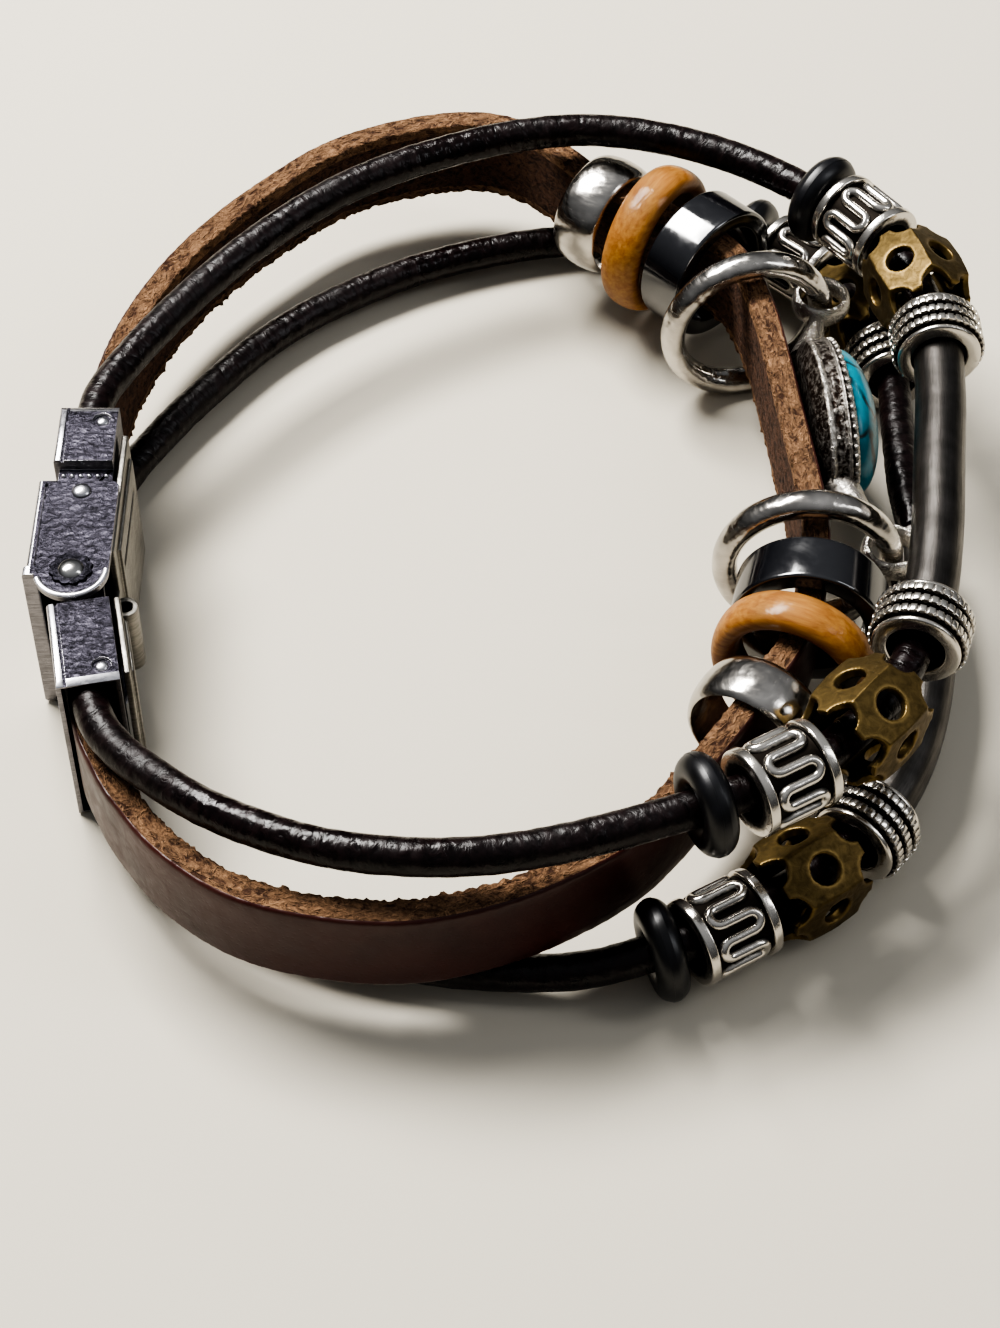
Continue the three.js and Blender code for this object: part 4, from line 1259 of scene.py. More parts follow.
def make_rondelles():
    """The two domed rings at the ends of the strap's row."""
    half, bore, face, edge = RONDELLE.values()
    dome = in_mm(sizes().rondelle_dome)
    arc = [(face + dome * sqrt(1 - (k / 12) ** 2), half * k / 12) for k in range(-12, 13)]
    ring = turned("rondelle", [(bore, edge - half), *arc, (bore, half - edge)], 96)
    clothe(ring, polished_metal("bright_plated_brass", colours().plated, 0.11, 0.22, 0.2))
    thread_rings(ring, "rondelle", "polished")


def make_wood_rings():
    """The two rings of varnished wood."""
    ring = turned("wood_ring", oval(*WOOD_RING.values(), 0.92), 96)
    mark_own_place(ring)
    clothe(ring, varnished_wood(colours().wood))
    thread_rings(ring, "wood_ring", "wood")


def make_black_rings():
    """The two rings of black stone."""
    half, bore, outer, edge = BLACK_RING.values()
    section = rounded([(bore, -half), (outer, -half), (outer, half), (bore, half)], edge, 6)
    ring = turned("black_ring", section, 128)
    clothe(ring, polished_hematite(colours().hematite))
    thread_rings(ring, "black_ring", "hematite")


def make_big_rings():
    """The two big rings that hold the stone's setting."""
    ring = turned("big_ring", oval(*BIG_RING.values(), 0.95), 128)
    clothe(ring, polished_metal("cast_bright_silver", colours().plated, 0.12, 0.42, 0.2))
    thread_rings(ring, "big_ring", "polished", **BIG_RING_PLACE)


# ---------------------------------------------------------------- turquoise and its setting
STONE = {"length": 14.0, "height": 10.2, "foot": 2.7, "girdle": 4.7, "crown": 7.3}
CUP = {
    "length": 15.6, "height": 11.6, "back": 1.65, "floor": 2.4, "ridge": 3.86, "ledge": 4.2,
    "rim": 4.8,
}
CUP_STEPS, STONE_STEPS = 216, 96
RIM_BEAD = {"radius": 0.27, "out": 4.42, "inset": 0.1}
LUG = {"inner": 1.65, "wire": 0.42, "width": 2.2}


def oval_ring(out, length, height, steps):
    """An oval round the X axis."""
    angles = (tau * i / steps for i in range(steps))
    return [Vector((out, height / 2 * cos(a), length / 2 * sin(a))) for a in angles]


def stone_seat():
    """The place of the stone and its setting: X out of the loop, Z along the strap."""
    return STRANDS["strap"].seat(STONE_STATION, height=SETTING_Z)


def make_turquoise():
    """The oval stone, level to its girdle and domed above."""
    length, height, foot, girdle, crown = STONE.values()
    levels = [(foot, 0.98), (foot + 0.4, 1.0), (girdle, 1.0)]
    for k in range(1, 15):
        angle = pi / 2 * k / 15
        levels.append((girdle + (crown - girdle) * sin(angle), cos(angle) ** 0.9))
    levels.append((crown, 0.03))
    rings = [oval_ring(out, length * s, height * s, STONE_STEPS) for out, s in levels]
    stone = lofted("turquoise_dome", rings)
    clothe(stone, turquoise_stone(colours().turquoise))
    finish_piece(stone, "turquoise", stone_seat())


def cup_profile():
    """Levels of the cup as (out, spread, pebble): its back, its pebbled wall, rim and bowl."""
    _, _, back, floor, ridge, ledge, rim = CUP.values()
    return [
        (back, -2.6, 0.0), (back + 0.1, -2.3, 0.0), (floor - 0.3, -0.7, 0.0),
        (floor - 0.1, -0.1, 0.0),
        (floor, 0.24, 0.08), (floor + 0.15, 0.34, 0.12), (floor + 0.3, 0.24, 0.08),
        *((floor + 0.5 + 0.14 * k, -0.04, 0.16) for k in range(7)),
        (ridge, 0.1, 0.0), (ridge + 0.06, 0.32, 0.0), (ridge + 0.18, 0.36, 0.0),
        (ridge + 0.26, 0.1, 0.0),
        (ledge, -0.3, 0.0), (ledge + 0.35, -0.35, 0.0), (rim - 0.1, -0.7, 0.0),
        (rim, -1.1, 0.0), (rim - 0.1, -1.4, 0.0), (ledge - 0.2, -1.42, 0.0), (floor, -1.42, 0.0),
    ]


def setting_cup():
    """The oval cup, its wall pebbled by pushing points in and out."""
    rings = []
    for out, spread, pebble in cup_profile():
        ring = oval_ring(out, CUP["length"] + spread, CUP["height"] + spread, CUP_STEPS)
        for i, spot in enumerate(ring):
            grain = noise.noise(Vector((i * 0.62, out * 5.2, 1.0)))
            spot.yz *= 1 + pebble * 0.16 * grain
        rings.append(ring)
    return lofted("setting_cup", rings)


def rim_beads(count):
    """A row of little beads on the ledge round the stone."""
    radius, out, inset = RIM_BEAD.values()
    bead = primitive(
        bpy.ops.mesh.primitive_uv_sphere_add, "rim_bead", segments=10, ring_count=6, radius=radius
    )
    beads = []
    for spot in oval_ring(out, CUP["length"] - inset, CUP["height"] - inset, count):
        twin = copy_of(bead)
        twin.data.transform(Matrix.Translation(spot))
        beads.append(twin)
    bpy.data.objects.remove(bead)
    return beads


def lug(outer_side):
    """An eye round a big ring's outer side and the stem that joins it to the cup."""
    inner, wire, width = LUG.values()
    centre = Vector((outer_side.x, 0, outer_side.z))
    eye = primitive(
        bpy.ops.mesh.primitive_torus_add, "eye", major_segments=40, minor_segments=14,
        major_radius=inner + wire, minor_radius=wire, location=centre, rotation=(pi / 2, 0, 0),
    )
    eye.data.transform(Matrix.Diagonal((1, width, 1, 1)))
    way = 1 if centre.z > 0 else -1
    start = Vector((CUP["floor"] + 0.7, 0, way * (CUP["length"] / 2 - 0.6)))
    run = centre - start
    reach = run.length - inner - wire
    shape = [(1.7, 0.0), (1.25, 0.35), (0.95, 0.6), (0.75, 0.85), (0.62, 1.0)]
    section = [(0.001, 0.0), *((r, share * reach) for r, share in shape), (0.001, reach)]
    stem = turned("stem", section, 32)
    aim = run.to_track_quat("Z", "Y").to_matrix().to_4x4()
    stem.data.transform(Matrix.Translation(start) @ aim)
    return [eye, stem]


def make_stone_setting():
    """The stone's setting: a cup, beads round its rim, and two lugs."""
    seat = stone_seat()
    parts = [setting_cup(), *rim_beads(sizes().bezel_beads)]
    for along in STRAP_STATIONS["big_ring"].values():
        ring_seat = STRANDS["strap"].seat(along, **BIG_RING_PLACE)
        parts += lug(seat.inverted() @ ring_seat @ Vector((BIG_RING["radius"], 0, 0)))
    setting = joined(parts)
    mark(setting, "raised", setting_relief)
    clothe(setting, antique_metal(
        "pebbled_silver", colours().silver, linear("#251c17"), 0.18, 1.4, grain=0.5, spread=0.34
    ))
    finish_piece(setting, "stone_setting", seat)


def setting_relief(spot):
    """Ridges, beads and eyes are bright; the pebbled wall is mostly dark and the back dull."""
    if abs(spot.z) > CUP["length"] / 2 + 0.3:
        return 0.66
    foot = CUP["floor"] - 0.05 < spot.x < CUP["floor"] + 0.32
    beads = CUP["ledge"] < spot.x < CUP["ledge"] + 0.55
    if foot or beads:
        return 0.5
    if CUP["ridge"] - 0.02 < spot.x < CUP["ridge"] + 0.24:
        return 0.42
    return 0.3 if CUP["floor"] < spot.x < CUP["ridge"] else 0.28


# ---------------------------------------------------------------- clasp
FULL = (0.0, CLASP_HEIGHT)
THROUGH = (-1.0, CLASP_HEIGHT + 2.0)
TONGUE = (STEP_DOWN, CLASP_HEIGHT - STEP_DOWN)
INSIDE = (CLASP_WALL, CLASP_HEIGHT - CLASP_WALL)
POCKET, ROOT, GAP, BORE = 5.0, 0.5, 0.3, 1.0
PLATED, WORN, SIDE = 0, 1, 2
CLASP_BEND, RAIL, GROOVE, GROOVE_DEPTH = 0.3, 0.55, 0.24, 0.2

# Sides of the boxes: the back box's in the plan, and the front box's from the hinge pin, about
# which it is turned. The lid is measured from the pin too, and isn't turned.
BACK = {"outer": -34.5, "inner": -29.9, "mouth": 5.0, "shoulder": -1.0, "end": -7.2}
FRONT = {"outer": -2.15, "inner": 2.5, "mouth": -11.4, "shoulder": -3.4, "end": 3.6}
LID_SEAT = Matrix.Translation(PIN_PLAN)
FRONT_SEAT = LID_SEAT @ Matrix.Rotation(radians(11), 4, "Z")


def clasp_finishes():
    """The clasp's three finishes, made once: plated faces, worn edges and brushed sides."""
    if "wrinkled_steel" not in bpy.data.materials:
        wrinkled_steel("wrinkled_steel", colours().clasp)
        polished_metal("worn_steel_edge", linear("#c9c8cc"), 0.2, scratch=0.2)
        polished_metal(
            "brushed_steel_side", linear("#8b898c"), 0.24, 0.1, 0.25, brushed=2.5, patchy=0.74
        )
    names = ("wrinkled_steel", "worn_steel_edge", "brushed_steel_side")
    return [bpy.data.materials[name] for name in names]


def worn_bright(piece):
    """Gives a small piece the bright finish of the clasp's worn edges."""
    clothe(piece, *clasp_finishes())
    for face in piece.data.polygons:
        face.material_index = WORN
    return piece


def folded_block(name, xs, ys, zs):
    """A block with its outer long edges folded round."""
    piece = block(name, xs, ys, zs)
    round_edges(piece, lambda a, b: max(a.x, b.x) < xs[0] + 0.01 and a.z == b.z, CLASP_BEND, 8)
    return piece


def wear_edges(piece, outer):
    """Rounds every sharp edge and gives each face its finish: wrinkled on top and below,
    brushed at the sides, bright where it is rounded or on the rail of the outer plate."""
    clothe(piece, *clasp_finishes())
    soften(piece, 35, in_mm(sizes().clasp_edge), 3, material=WORN)
    for face in piece.data.polygons:
        level = abs(face.normal.z)
        if face.material_index == PLATED and level < 0.98:
            face.material_index = WORN if level > 0.1 else SIDE
        if level > 0.5 and face.center.x < outer + RAIL:
            face.material_index = WORN


def groove_cutters(outer, ys, zs):
    """Cutters for the groove that sets off the rail of the outer plate, above and below."""
    xs, (low, high) = (outer + RAIL, outer + RAIL + GROOVE), zs
    spans = (low - 1, low + GROOVE_DEPTH), (high - GROOVE_DEPTH, high + 1)
    return [block("groove", xs, ys, span) for span in spans]


def lip_cutters(xs, mouth, way):
    """Cutters for the sloping lips above and below a box's mouth."""
    cutters = []
    for level, up in zip(FULL, (-1, 1)):
        corners = ((0.6, 0.0), (-0.12, 0.2), (-0.12, -0.24))
        rings = [[(x, mouth + way * y, level + up * z) for y, z in corners] for x in xs]
        cutters.append(lofted("lip", rings))
    return cutters


def domes(name, place, radius, levels):
    """Low bright domes on the top and bottom faces, as (z, height) each."""
    return [
        worn_bright(primitive(
            bpy.ops.mesh.primitive_uv_sphere_add, name, segments=28, ring_count=14,
            radius=radius, location=(*place, z), scale=(1, 1, height / radius),
        ))
        for z, height in levels
    ]


# Near each mouth the end of a pin shows in a shallow eye.
EYE = {"depth": 0.26, "radius": 0.72, "from_inner": 1.2, "from_mouth": 1.5}
PIN_END = {"radius": 0.5, "rise": 0.22}


def finish_box(box, sides, way, ys, bores=()):
    """Cuts a box's pocket, bores, eyes, lips and grooves, wears its edges and adds the pins in
    its eyes. Way points from the mouth into the box, and the grooves run along ys."""
    outer, inner, mouth = sides["outer"], sides["inner"], sides["mouth"]
    pocket_ys = sorted((mouth - way, mouth + way * POCKET))
    eye = (inner - EYE["from_inner"], mouth + way * EYE["from_mouth"])
    floors = (EYE["depth"], CLASP_HEIGHT - EYE["depth"])
    cutters = [
        block("pocket", (outer + CLASP_WALL, inner - CLASP_WALL), pocket_ys, INSIDE),
        *bores,
        post("eye", eye, EYE["radius"], (THROUGH[0], floors[0]), 28),
        post("eye", eye, EYE["radius"], (floors[1], THROUGH[1]), 28),
        *lip_cutters((outer - 1, inner + 1), mouth, way),
        *groove_cutters(outer, ys, FULL),
    ]
    for cutter in cutters:
        combine(box, cutter, "DIFFERENCE")
    wear_edges(box, outer)
    pins = domes("pin_end", eye, PIN_END["radius"], [(z, PIN_END["rise"]) for z in floors])
    return joined([box, *pins])


STEP_BEADS = {"from": -33.7, "to": -30.4, "y": -1.75, "radius": 0.2, "count": 6}


def step_beads():
    """The row of little bright beads on the back box's step, above and below."""
    first, last, y, radius, count = STEP_BEADS.values()
    places = [(first + (last - first) * k / (count - 1), y) for k in range(count)]
    levels = [(z, radius) for z in TONGUE]
    return [bead for place in places for bead in domes("step_bead", place, radius, levels)]


def make_back_box():
    """The clasp's box on the back strands' ends, with its step beads."""
    outer, inner, mouth, shoulder, end = BACK.values()
    box = folded_block("back_box", (outer, inner), (shoulder, mouth), FULL)
    combine(box, block("tongue", (outer + 0.4, inner), (end, shoulder + ROOT), TONGUE))
    box = finish_box(box, BACK, -1, (end - 1, mouth + 1))
    box = joined([box, *step_beads()])
    finish_piece(box, "clasp_back_box", smooth=30.0)


def make_front_box():
    """The clasp's box on the front strands' ends, bored for the pin."""
    outer, inner, mouth, shoulder, end = FRONT.values()
    box = folded_block("front_box", (outer, inner), (mouth, shoulder), FULL)
    combine(box, block("neck", (-1.0, inner - GAP), (shoulder - ROOT, end), TONGUE))
    bore = post("bore", (0, 0), BORE, THROUGH)
    box = finish_box(box, FRONT, 1, (mouth - 1, shoulder + 1), [bore])
    finish_piece(box, "clasp_front_box", FRONT_SEAT, smooth=30.0)


LID = {"outer": -3.4, "plate": 0.9, "edge": 2.8, "end": 9.2, "heel": -0.5, "flange": 0.5}
LID_LOW = STEP_DOWN - GAP - LID["flange"]
LID_HIGH = CLASP_HEIGHT - LID_LOW
LIP = {"proud": 0.25, "width": 0.8}
HEEL_RIM = {"radius": 2.62, "across": 0.26, "up": 0.16, "proud": 0.02}
RIVET = {"radius": 0.76, "from_end": 1.1, "low": 0.16, "high": 0.36}


def heel_turns(start, steps):
    """Angles round the heel of a flange, from past its outer side to its inner side."""
    return [pi + start + (pi - start) * k / steps for k in range(steps + 1)]


def flange_outline():
    """The flange in plan: straight sides and a round heel about the hinge pin."""
    outer, edge, end = LID["outer"] + CLASP_BEND, LID["edge"], LID["end"]
    heel = [(edge * cos(turn), edge * sin(turn)) for turn in heel_turns(0.18, 24)]
    corner = [(edge, end - 0.5), (edge - 0.15, end - 0.15), (edge - 0.5, end)]
    return [*heel, *corner, (outer, end), (outer, LID["heel"] + 0.05)]


def heel_rim(z):
    """The polished edge round the heel of a flange."""
    rings = []
    for turn in heel_turns(0.35, 32):
        across = Vector((cos(turn), sin(turn), 0.0))
        centre = across * HEEL_RIM["radius"] + Vector((0, 0, z))
        around = (tau * i / 12 for i in range(12))
        rings.append([
            centre + across * HEEL_RIM["across"] * cos(a) + Vector((0, 0, HEEL_RIM["up"] * sin(a)))
            for a in around
        ])
    return worn_bright(lofted("heel_rim", rings))


def make_clasp_lid():
    """The folded lid with its lip, flanges, rim and rivets."""
    outer, plate, _, end, heel, flange = LID.values()
    height, inner = (LID_LOW, LID_HIGH), outer + plate
    lid = folded_block("lid", (outer, inner), (heel, end), height)
    lip = folded_block("lip", (outer - LIP["proud"], inner), (heel, heel + LIP["width"]), height)
    combine(lid, lip)
    for zs in ((LID_LOW, LID_LOW + flange), (LID_HIGH - flange, LID_HIGH)):
        side = slab("flange", flange_outline(), zs)
        combine(side, post("hole", (0, 0), BORE, (zs[0] - 1, zs[1] + 1)), "DIFFERENCE")
        combine(lid, side)
    for cutter in groove_cutters(outer, (heel + 0.9, end - 0.3), height):
        combine(lid, cutter, "DIFFERENCE")
    wear_edges(lid, outer)
    rivet_levels = ((LID_LOW, RIVET["low"]), (LID_HIGH, RIVET["high"]))
    lid = joined([
        lid, heel_rim(LID_LOW - HEEL_RIM["proud"]), heel_rim(LID_HIGH + HEEL_RIM["proud"]),
        *domes("rivet", (0, end - RIVET["from_end"]), RIVET["radius"], rivet_levels),
    ])
    finish_piece(lid, "clasp_lid", LID_SEAT, body="lid", smooth=30.0)


PIN_RADIUS = 0.6
# The pin's lower head is this share of the height of the upper, so that the clasp can stand.
LOW_HEAD = 0.34
SCALLOPS = {"count": 12, "depth": 0.16}


def scalloped_washer(half, way, share, finish):
    """A washer with a wavy rim under a head of the pin, flattened by its share."""
    rings = []
    for radius, z in ((0.95, 0.0), (0.95, 0.1), (1.16, 0.2), (1.44, 0.16), (1.52, 0.02)):
        wave = SCALLOPS["depth"] if radius > BORE else 0.0
        height = way * (half + (0.02 + z) * share)
        ring = []
        for i in range(96):
            turn = tau * i / 96
            reach = radius + wave * abs(sin(turn * SCALLOPS["count"] / 2))
            ring.append(Vector((reach * cos(turn), reach * sin(turn), height)))
        rings.append(ring)
    washer = lofted("washer", rings, looped=True)
    clothe(washer, finish)
    return washer


def make_hinge_pin():
    """A pin with a domed head and a scalloped washer at each end, both flat enough below for
    the clasp to stand on."""
    middle = CLASP_HEIGHT / 2
    half = middle - LID_LOW
    head = [(0.001, 0.52), (0.36, 0.49), (0.68, 0.4), (0.92, 0.24), (1.02, 0.06), (0.97, 0.0)]
    section = [(r, half + z) for r, z in head]
    section += [(PIN_RADIUS, half), (PIN_RADIUS, -half)]
    section += [(r, -half - z * LOW_HEAD) for r, z in reversed(head)]
    pin = turned("hinge_pin", section, 48)
    clothe(pin, polished_metal("bright_pin_steel", linear("#d2d0cc"), 0.12))
    dark = wrinkled_steel("blackened_washer_steel", linear("#2c2b31"))
    washers = [scalloped_washer(half, *way, dark) for way in ((1, 1.0), (-1, LOW_HEAD))]
    pin = joined([pin, *washers])
    seat = LID_SEAT @ Matrix.Translation((0, 0, middle))
    finish_piece(pin, "clasp_hinge_pin", seat)


BLADE_THICKNESS, BLADE_ZS = 0.5, (1.0, 14.1)
BACK_BLADE_YS, FRONT_BLADE_YS = (-9.6, 2.8), (-10.2, -2.6)
PANEL = {"inset": 1.3, "rise": 0.3}
SLOT = {"low": 4.0, "high": 3.4, "from_start": 1.8, "from_end": 2.4}
KNUCKLE = {"radius": 1.0, "bore": 0.55, "beyond": 1.6, "zs": (3.2, 9.6)}


def bowed_blade(name, face, ys):
    """A thin blade with a raised middle panel, a long slot and rolled edges."""
    (start, end), high = ys, BLADE_ZS[1]
    blade = block(name, (face, face + BLADE_THICKNESS), ys, BLADE_ZS)

    def raise_panel():
        bpy.ops.mesh.inset(thickness=PANEL["inset"])
        bpy.ops.mesh.extrude_region_move(
            TRANSFORM_OT_translate={"value": (PANEL["rise"], 0, 0)}
        )

    edit(blade, raise_panel, lambda side: side.normal.x > 0.9)
    slot = block(
        "slot", (face + 0.2, face + BLADE_THICKNESS + 1),
        (start + SLOT["from_start"], end - SLOT["from_end"]),
        (high - SLOT["low"], high - SLOT["high"]),
    )
    combine(blade, slot, "DIFFERENCE")
    soften(blade, 30, 0.16, 4)
    return blade


def hooked_end(face):
    """The neck at the end of the back blade and the hollow knuckle that it rolls into."""
    start, zs, radius = BACK_BLADE_YS[0], KNUCKLE["zs"], KNUCKLE["radius"]
    centre = (face + radius, start - KNUCKLE["beyond"])
    neck = block("neck", (face, face + BLADE_THICKNESS), (centre[1], start + GAP), zs)
    barrel = post("knuckle", centre, radius, zs, 40)
    combine(barrel, post("bore", centre, KNUCKLE["bore"], FULL), "DIFFERENCE")
    for part in (neck, barrel):
        soften(part, 50, 0.12, 3)
    return [neck, barrel]


def make_blades():
    """The clasp's two thin inner plates."""
    steel = polished_metal(
        "brushed_blade_steel", linear("#8d8a84"), 0.3, 0.15, 0.22, brushed=2.0, patchy=0.7
    )
    face = BACK["inner"] + GAP
    back = joined([bowed_blade("blade_back", face, BACK_BLADE_YS), *hooked_end(face)])
    clothe(back, steel)
    finish_piece(back, "clasp_blade_back", smooth=30.0)
    front = bowed_blade("blade_front", FRONT["inner"] + GAP, FRONT_BLADE_YS)
    clothe(front, steel)
    finish_piece(front, "clasp_blade_front", FRONT_SEAT, smooth=30.0)


# ---------------------------------------------------------------- stage
CAMERA_PLACE = (-0.00155, -0.15369, 0.16771)
CAMERA_TILT, CAMERA_LENS = 40.5, 75.246


def make_camera():
    """The camera, in front of the bracelet and above it."""
    camera = add_to_scene("camera", bpy.data.cameras.new("camera"))
    camera.data.lens = CAMERA_LENS
    camera.data.sensor_width = 36.0
    camera.data.clip_start = 0.01
    camera.location = CAMERA_PLACE
    camera.rotation_euler = (radians(CAMERA_TILT), 0, 0)
    bpy.context.scene.camera = camera


def make_light(name, place, size, power, colour):
    """A soft rectangular light that faces the middle of the bracelet."""
    light = bpy.data.lights.new(name, "AREA")
    light.shape = "RECTANGLE"
    light.size, light.size_y = size
    light.energy, light.color = power, colour
    lamp = add_to_scene(name, light)
    lamp.location = place
    lamp.rotation_euler = (-Vector(place)).to_track_quat("-Z", "Y").to_euler()


def matt_card(colour):
    """Matt painted board: plain and pale with a barely seen tooth."""
    material, tree, shader, place = new_finish("matt_card")
    tooth = add_node(tree, "ShaderNodeTexNoise", noise_at(place, 0.8, 4.0))
    bump = add_node(tree, "ShaderNodeBump", {
        "Height": tooth.outputs["Fac"], "Strength": 0.05, "Distance": 0.1 * MM,
    })
    feed(tree, shader, {
        "Base Color": tint(colour), "Roughness": 0.75, "Normal": bump.outputs["Normal"],
    })
    return material


def make_floor():
    """The plain floor under the bracelet."""
    floor = primitive(bpy.ops.mesh.primitive_plane_add, "floor", size=8.0)
    clothe(floor, matt_card(linear("#c8c1b2")))


def make_room():
    """A soft grey room, light overhead and dark at the level of the table."""
    world = bpy.data.worlds.new("studio")
    world.use_nodes = True
    tree = world.node_tree
    way = add_node(tree, "ShaderNodeTexCoord").outputs["Generated"]
    parts = add_node(tree, "ShaderNodeSeparateXYZ", {"Vector": way})
    glow = add_node(tree, "ShaderNodeMapRange", ranged(parts.outputs["Z"], 0.12, 1.0, 0.045, 0.42))
    feed(tree, tree.nodes["Background"], {
        "Color": (0.92, 0.95, 1.0, 1.0), "Strength": glow.outputs["Result"],
    })
    bpy.context.scene.world = world


def make_stage():
    """Room light, floor, two lamps and camera."""
    make_room()
    make_floor()
    make_light("window", (-0.2, 0.22, 0.44), (0.32, 0.15), 6.0, (1.0, 0.98, 0.95))
    make_light("fill", (0.4, -0.05, 0.35), (0.1, 0.3), 0.5, (0.95, 0.97, 1.0))
    make_camera()
    bpy.context.scene.view_settings.look = "AgX - High Contrast"


# ---------------------------------------------------------------- operators and panel
class BRACELET_OT_strap(bpy.types.Operator):
    """Makes the flat leather strap"""

    bl_idname = "bracelet.strap"
    bl_label = "Strap"
    bl_options = {"REGISTER", "UNDO"}

    def execute(self, context):
        make_strap()
        return {"FINISHED"}


class BRACELET_OT_cords(bpy.types.Operator):
    """Makes the two round leather cords"""

    bl_idname = "bracelet.cords"
    bl_label = "Cords"
    bl_options = {"REGISTER", "UNDO"}

    def execute(self, context):
        make_cords()
        return {"FINISHED"}


class BRACELET_OT_o_rings(bpy.types.Operator):
    """Makes the rubber rings that hold the beads on the cords"""

    bl_idname = "bracelet.o_rings"
    bl_label = "O-rings"
    bl_options = {"REGISTER", "UNDO"}

    def execute(self, context):
        make_o_rings()
        return {"FINISHED"}


class BRACELET_OT_engraved_beads(bpy.types.Operator):
    """Makes the silver beads with a raised meander"""

    bl_idname = "bracelet.engraved_beads"
    bl_label = "Engraved Beads"
    bl_options = {"REGISTER", "UNDO"}

    def execute(self, context):
        make_engraved_beads()
        return {"FINISHED"}


class BRACELET_OT_pierced_beads(bpy.types.Operator):
    """Makes the six-sided bronze beads with round holes"""

    bl_idname = "bracelet.pierced_beads"
    bl_label = "Pierced Beads"
    bl_options = {"REGISTER", "UNDO"}

    def execute(self, context):
        make_pierced_beads()
        return {"FINISHED"}


class BRACELET_OT_ribbed_beads(bpy.types.Operator):
    """Makes the silver beads with toothed ribs"""

    bl_idname = "bracelet.ribbed_beads"
    bl_label = "Ribbed Beads"
    bl_options = {"REGISTER", "UNDO"}

    def execute(self, context):
        make_ribbed_beads()
        return {"FINISHED"}


class BRACELET_OT_curved_tubes(bpy.types.Operator):
    """Makes the two satin tubes on the cords"""

    bl_idname = "bracelet.curved_tubes"
    bl_label = "Curved Tubes"
    bl_options = {"REGISTER", "UNDO"}

    def execute(self, context):
        make_curved_tubes()
        return {"FINISHED"}


class BRACELET_OT_rondelles(bpy.types.Operator):
    """Makes the domed rings at the ends of the strap's beads"""

    bl_idname = "bracelet.rondelles"
    bl_label = "Rondelles"
    bl_options = {"REGISTER", "UNDO"}

    def execute(self, context):
        make_rondelles()
        return {"FINISHED"}


class BRACELET_OT_wood_rings(bpy.types.Operator):
    """Makes the two varnished wood rings"""

    bl_idname = "bracelet.wood_rings"
    bl_label = "Wood Rings"
    bl_options = {"REGISTER", "UNDO"}

    def execute(self, context):
        make_wood_rings()
        return {"FINISHED"}


class BRACELET_OT_black_rings(bpy.types.Operator):
    """Makes the two polished black rings"""

    bl_idname = "bracelet.black_rings"
    bl_label = "Black Rings"
    bl_options = {"REGISTER", "UNDO"}

    def execute(self, context):
        make_black_rings()
        return {"FINISHED"}


class BRACELET_OT_big_rings(bpy.types.Operator):
    """Makes the two big silver rings that carry the stone"""

    bl_idname = "bracelet.big_rings"
    bl_label = "Big Rings"
    bl_options = {"REGISTER", "UNDO"}

    def execute(self, context):
        make_big_rings()
        return {"FINISHED"}


class BRACELET_OT_turquoise(bpy.types.Operator):
    """Makes the domed oval stone"""

    bl_idname = "bracelet.turquoise"
    bl_label = "Turquoise"
    bl_options = {"REGISTER", "UNDO"}

    def execute(self, context):
        make_turquoise()
        return {"FINISHED"}


class BRACELET_OT_stone_setting(bpy.types.Operator):
    """Makes the pebbled cup and its eyes round the big rings"""

    bl_idname = "bracelet.stone_setting"
    bl_label = "Stone Setting"
    bl_options = {"REGISTER", "UNDO"}

    def execute(self, context):
        make_stone_setting()
        return {"FINISHED"}


class BRACELET_OT_back_box(bpy.types.Operator):
    """Makes the end box at the back of the clasp"""

    bl_idname = "bracelet.back_box"
    bl_label = "Clasp Back Box"
    bl_options = {"REGISTER", "UNDO"}

    def execute(self, context):
        make_back_box()
        return {"FINISHED"}


class BRACELET_OT_front_box(bpy.types.Operator):
    """Makes the end box at the front of the clasp"""

    bl_idname = "bracelet.front_box"
    bl_label = "Clasp Front Box"
    bl_options = {"REGISTER", "UNDO"}

    def execute(self, context):
        make_front_box()
        return {"FINISHED"}


class BRACELET_OT_clasp_lid(bpy.types.Operator):
    """Makes the fold-over lid"""

    bl_idname = "bracelet.clasp_lid"
    bl_label = "Clasp Lid"
    bl_options = {"REGISTER", "UNDO"}

    def execute(self, context):
        make_clasp_lid()
        return {"FINISHED"}


class BRACELET_OT_hinge_pin(bpy.types.Operator):
    """Makes the pin that the lid turns on"""

    bl_idname = "bracelet.hinge_pin"
    bl_label = "Hinge Pin"
    bl_options = {"REGISTER", "UNDO"}

    def execute(self, context):
        make_hinge_pin()
        return {"FINISHED"}


class BRACELET_OT_blades(bpy.types.Operator):
    """Makes the folded blades on the wrist side"""

    bl_idname = "bracelet.blades"
    bl_label = "Clasp Blades"
    bl_options = {"REGISTER", "UNDO"}

    def execute(self, context):
        make_blades()
        return {"FINISHED"}


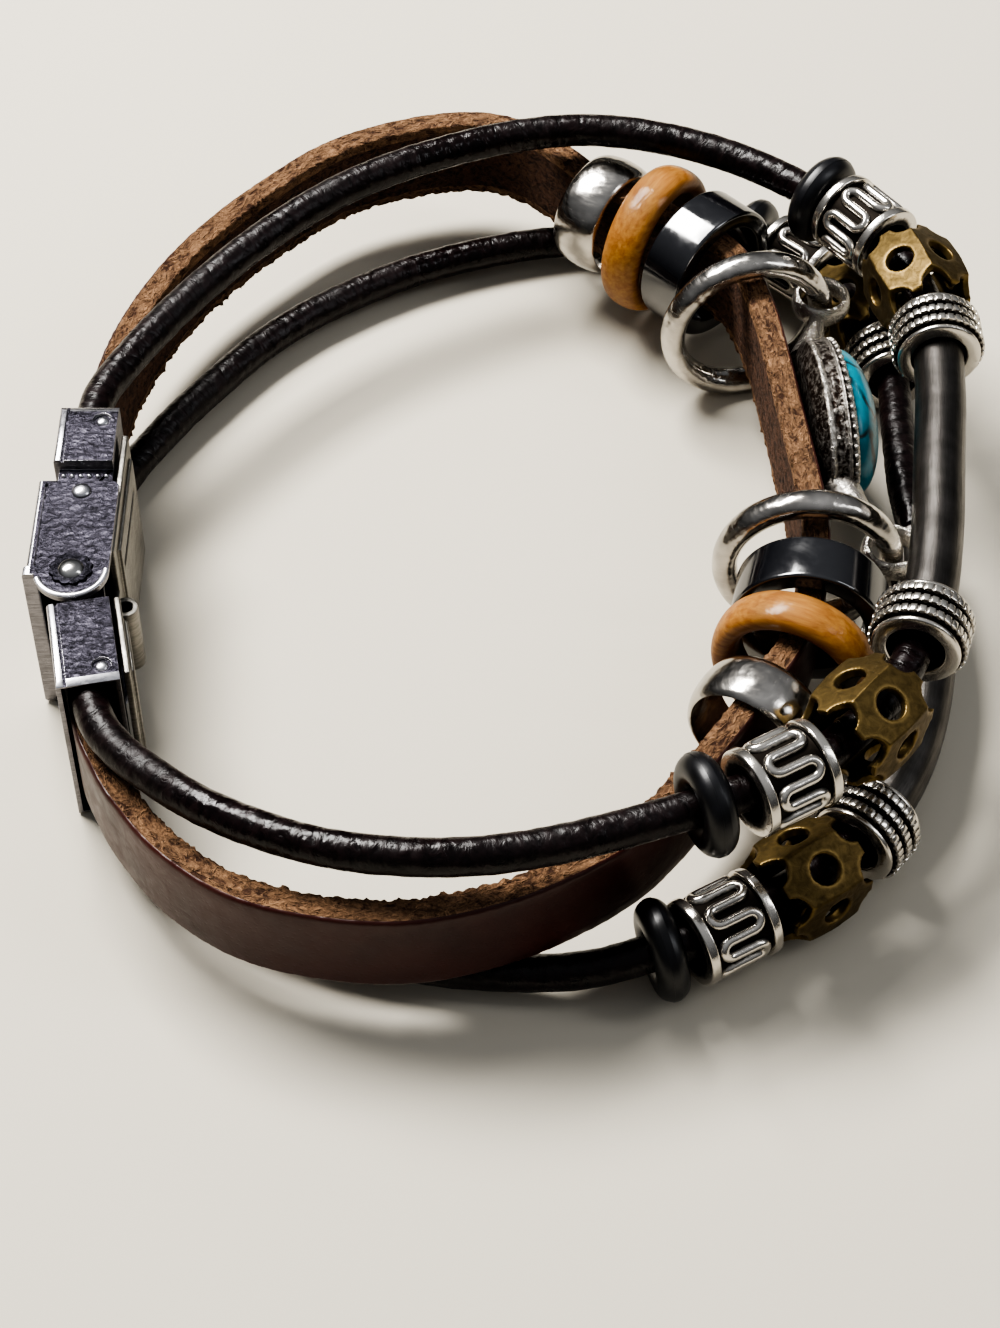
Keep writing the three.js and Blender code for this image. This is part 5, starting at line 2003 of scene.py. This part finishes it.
class BRACELET_OT_stage(bpy.types.Operator):
    """Makes the floor, the light and the camera"""

    bl_idname = "bracelet.stage"
    bl_label = "Stage"
    bl_options = {"REGISTER", "UNDO"}

    def execute(self, context):
        make_stage()
        return {"FINISHED"}


OPERATORS = (
    BRACELET_OT_strap,
    BRACELET_OT_cords,
    BRACELET_OT_o_rings,
    BRACELET_OT_engraved_beads,
    BRACELET_OT_pierced_beads,
    BRACELET_OT_ribbed_beads,
    BRACELET_OT_curved_tubes,
    BRACELET_OT_rondelles,
    BRACELET_OT_wood_rings,
    BRACELET_OT_black_rings,
    BRACELET_OT_big_rings,
    BRACELET_OT_turquoise,
    BRACELET_OT_stone_setting,
    BRACELET_OT_back_box,
    BRACELET_OT_front_box,
    BRACELET_OT_clasp_lid,
    BRACELET_OT_hinge_pin,
    BRACELET_OT_blades,
    BRACELET_OT_stage,
)


class BRACELET_PT_panel(bpy.types.Panel):
    """Lists the bracelet's pieces, sizes and colours"""

    bl_idname = "BRACELET_PT_panel"
    bl_label = "Leather Bracelet"
    bl_space_type = "VIEW_3D"
    bl_region_type = "UI"
    bl_category = "Bracelet"

    def draw(self, context):
        for group in (context.scene.bracelet_sizes, context.scene.bracelet_colours):
            box = self.layout.box()
            for key in group.__annotations__:
                box.prop(group, key)
        for kind in OPERATORS:
            self.layout.operator(kind.bl_idname)


CLASSES = (BraceletSizes, BraceletColours, *OPERATORS, BRACELET_PT_panel)


def register():
    """Adds the panel, its settings and the operators to Blender."""
    for kind in CLASSES:
        bpy.utils.register_class(kind)
    bpy.types.Scene.bracelet_sizes = PointerProperty(type=BraceletSizes)
    bpy.types.Scene.bracelet_colours = PointerProperty(type=BraceletColours)


def unregister():
    """Takes them away again."""
    del bpy.types.Scene.bracelet_colours
    del bpy.types.Scene.bracelet_sizes
    for kind in reversed(CLASSES):
        bpy.utils.unregister_class(kind)


def main():
    """Builds every group with its operator, then the stage."""
    register()
    for kind in OPERATORS:
        group, name = kind.bl_idname.split(".")
        getattr(getattr(bpy.ops, group), name)()


if __name__ == "__main__":
    main()
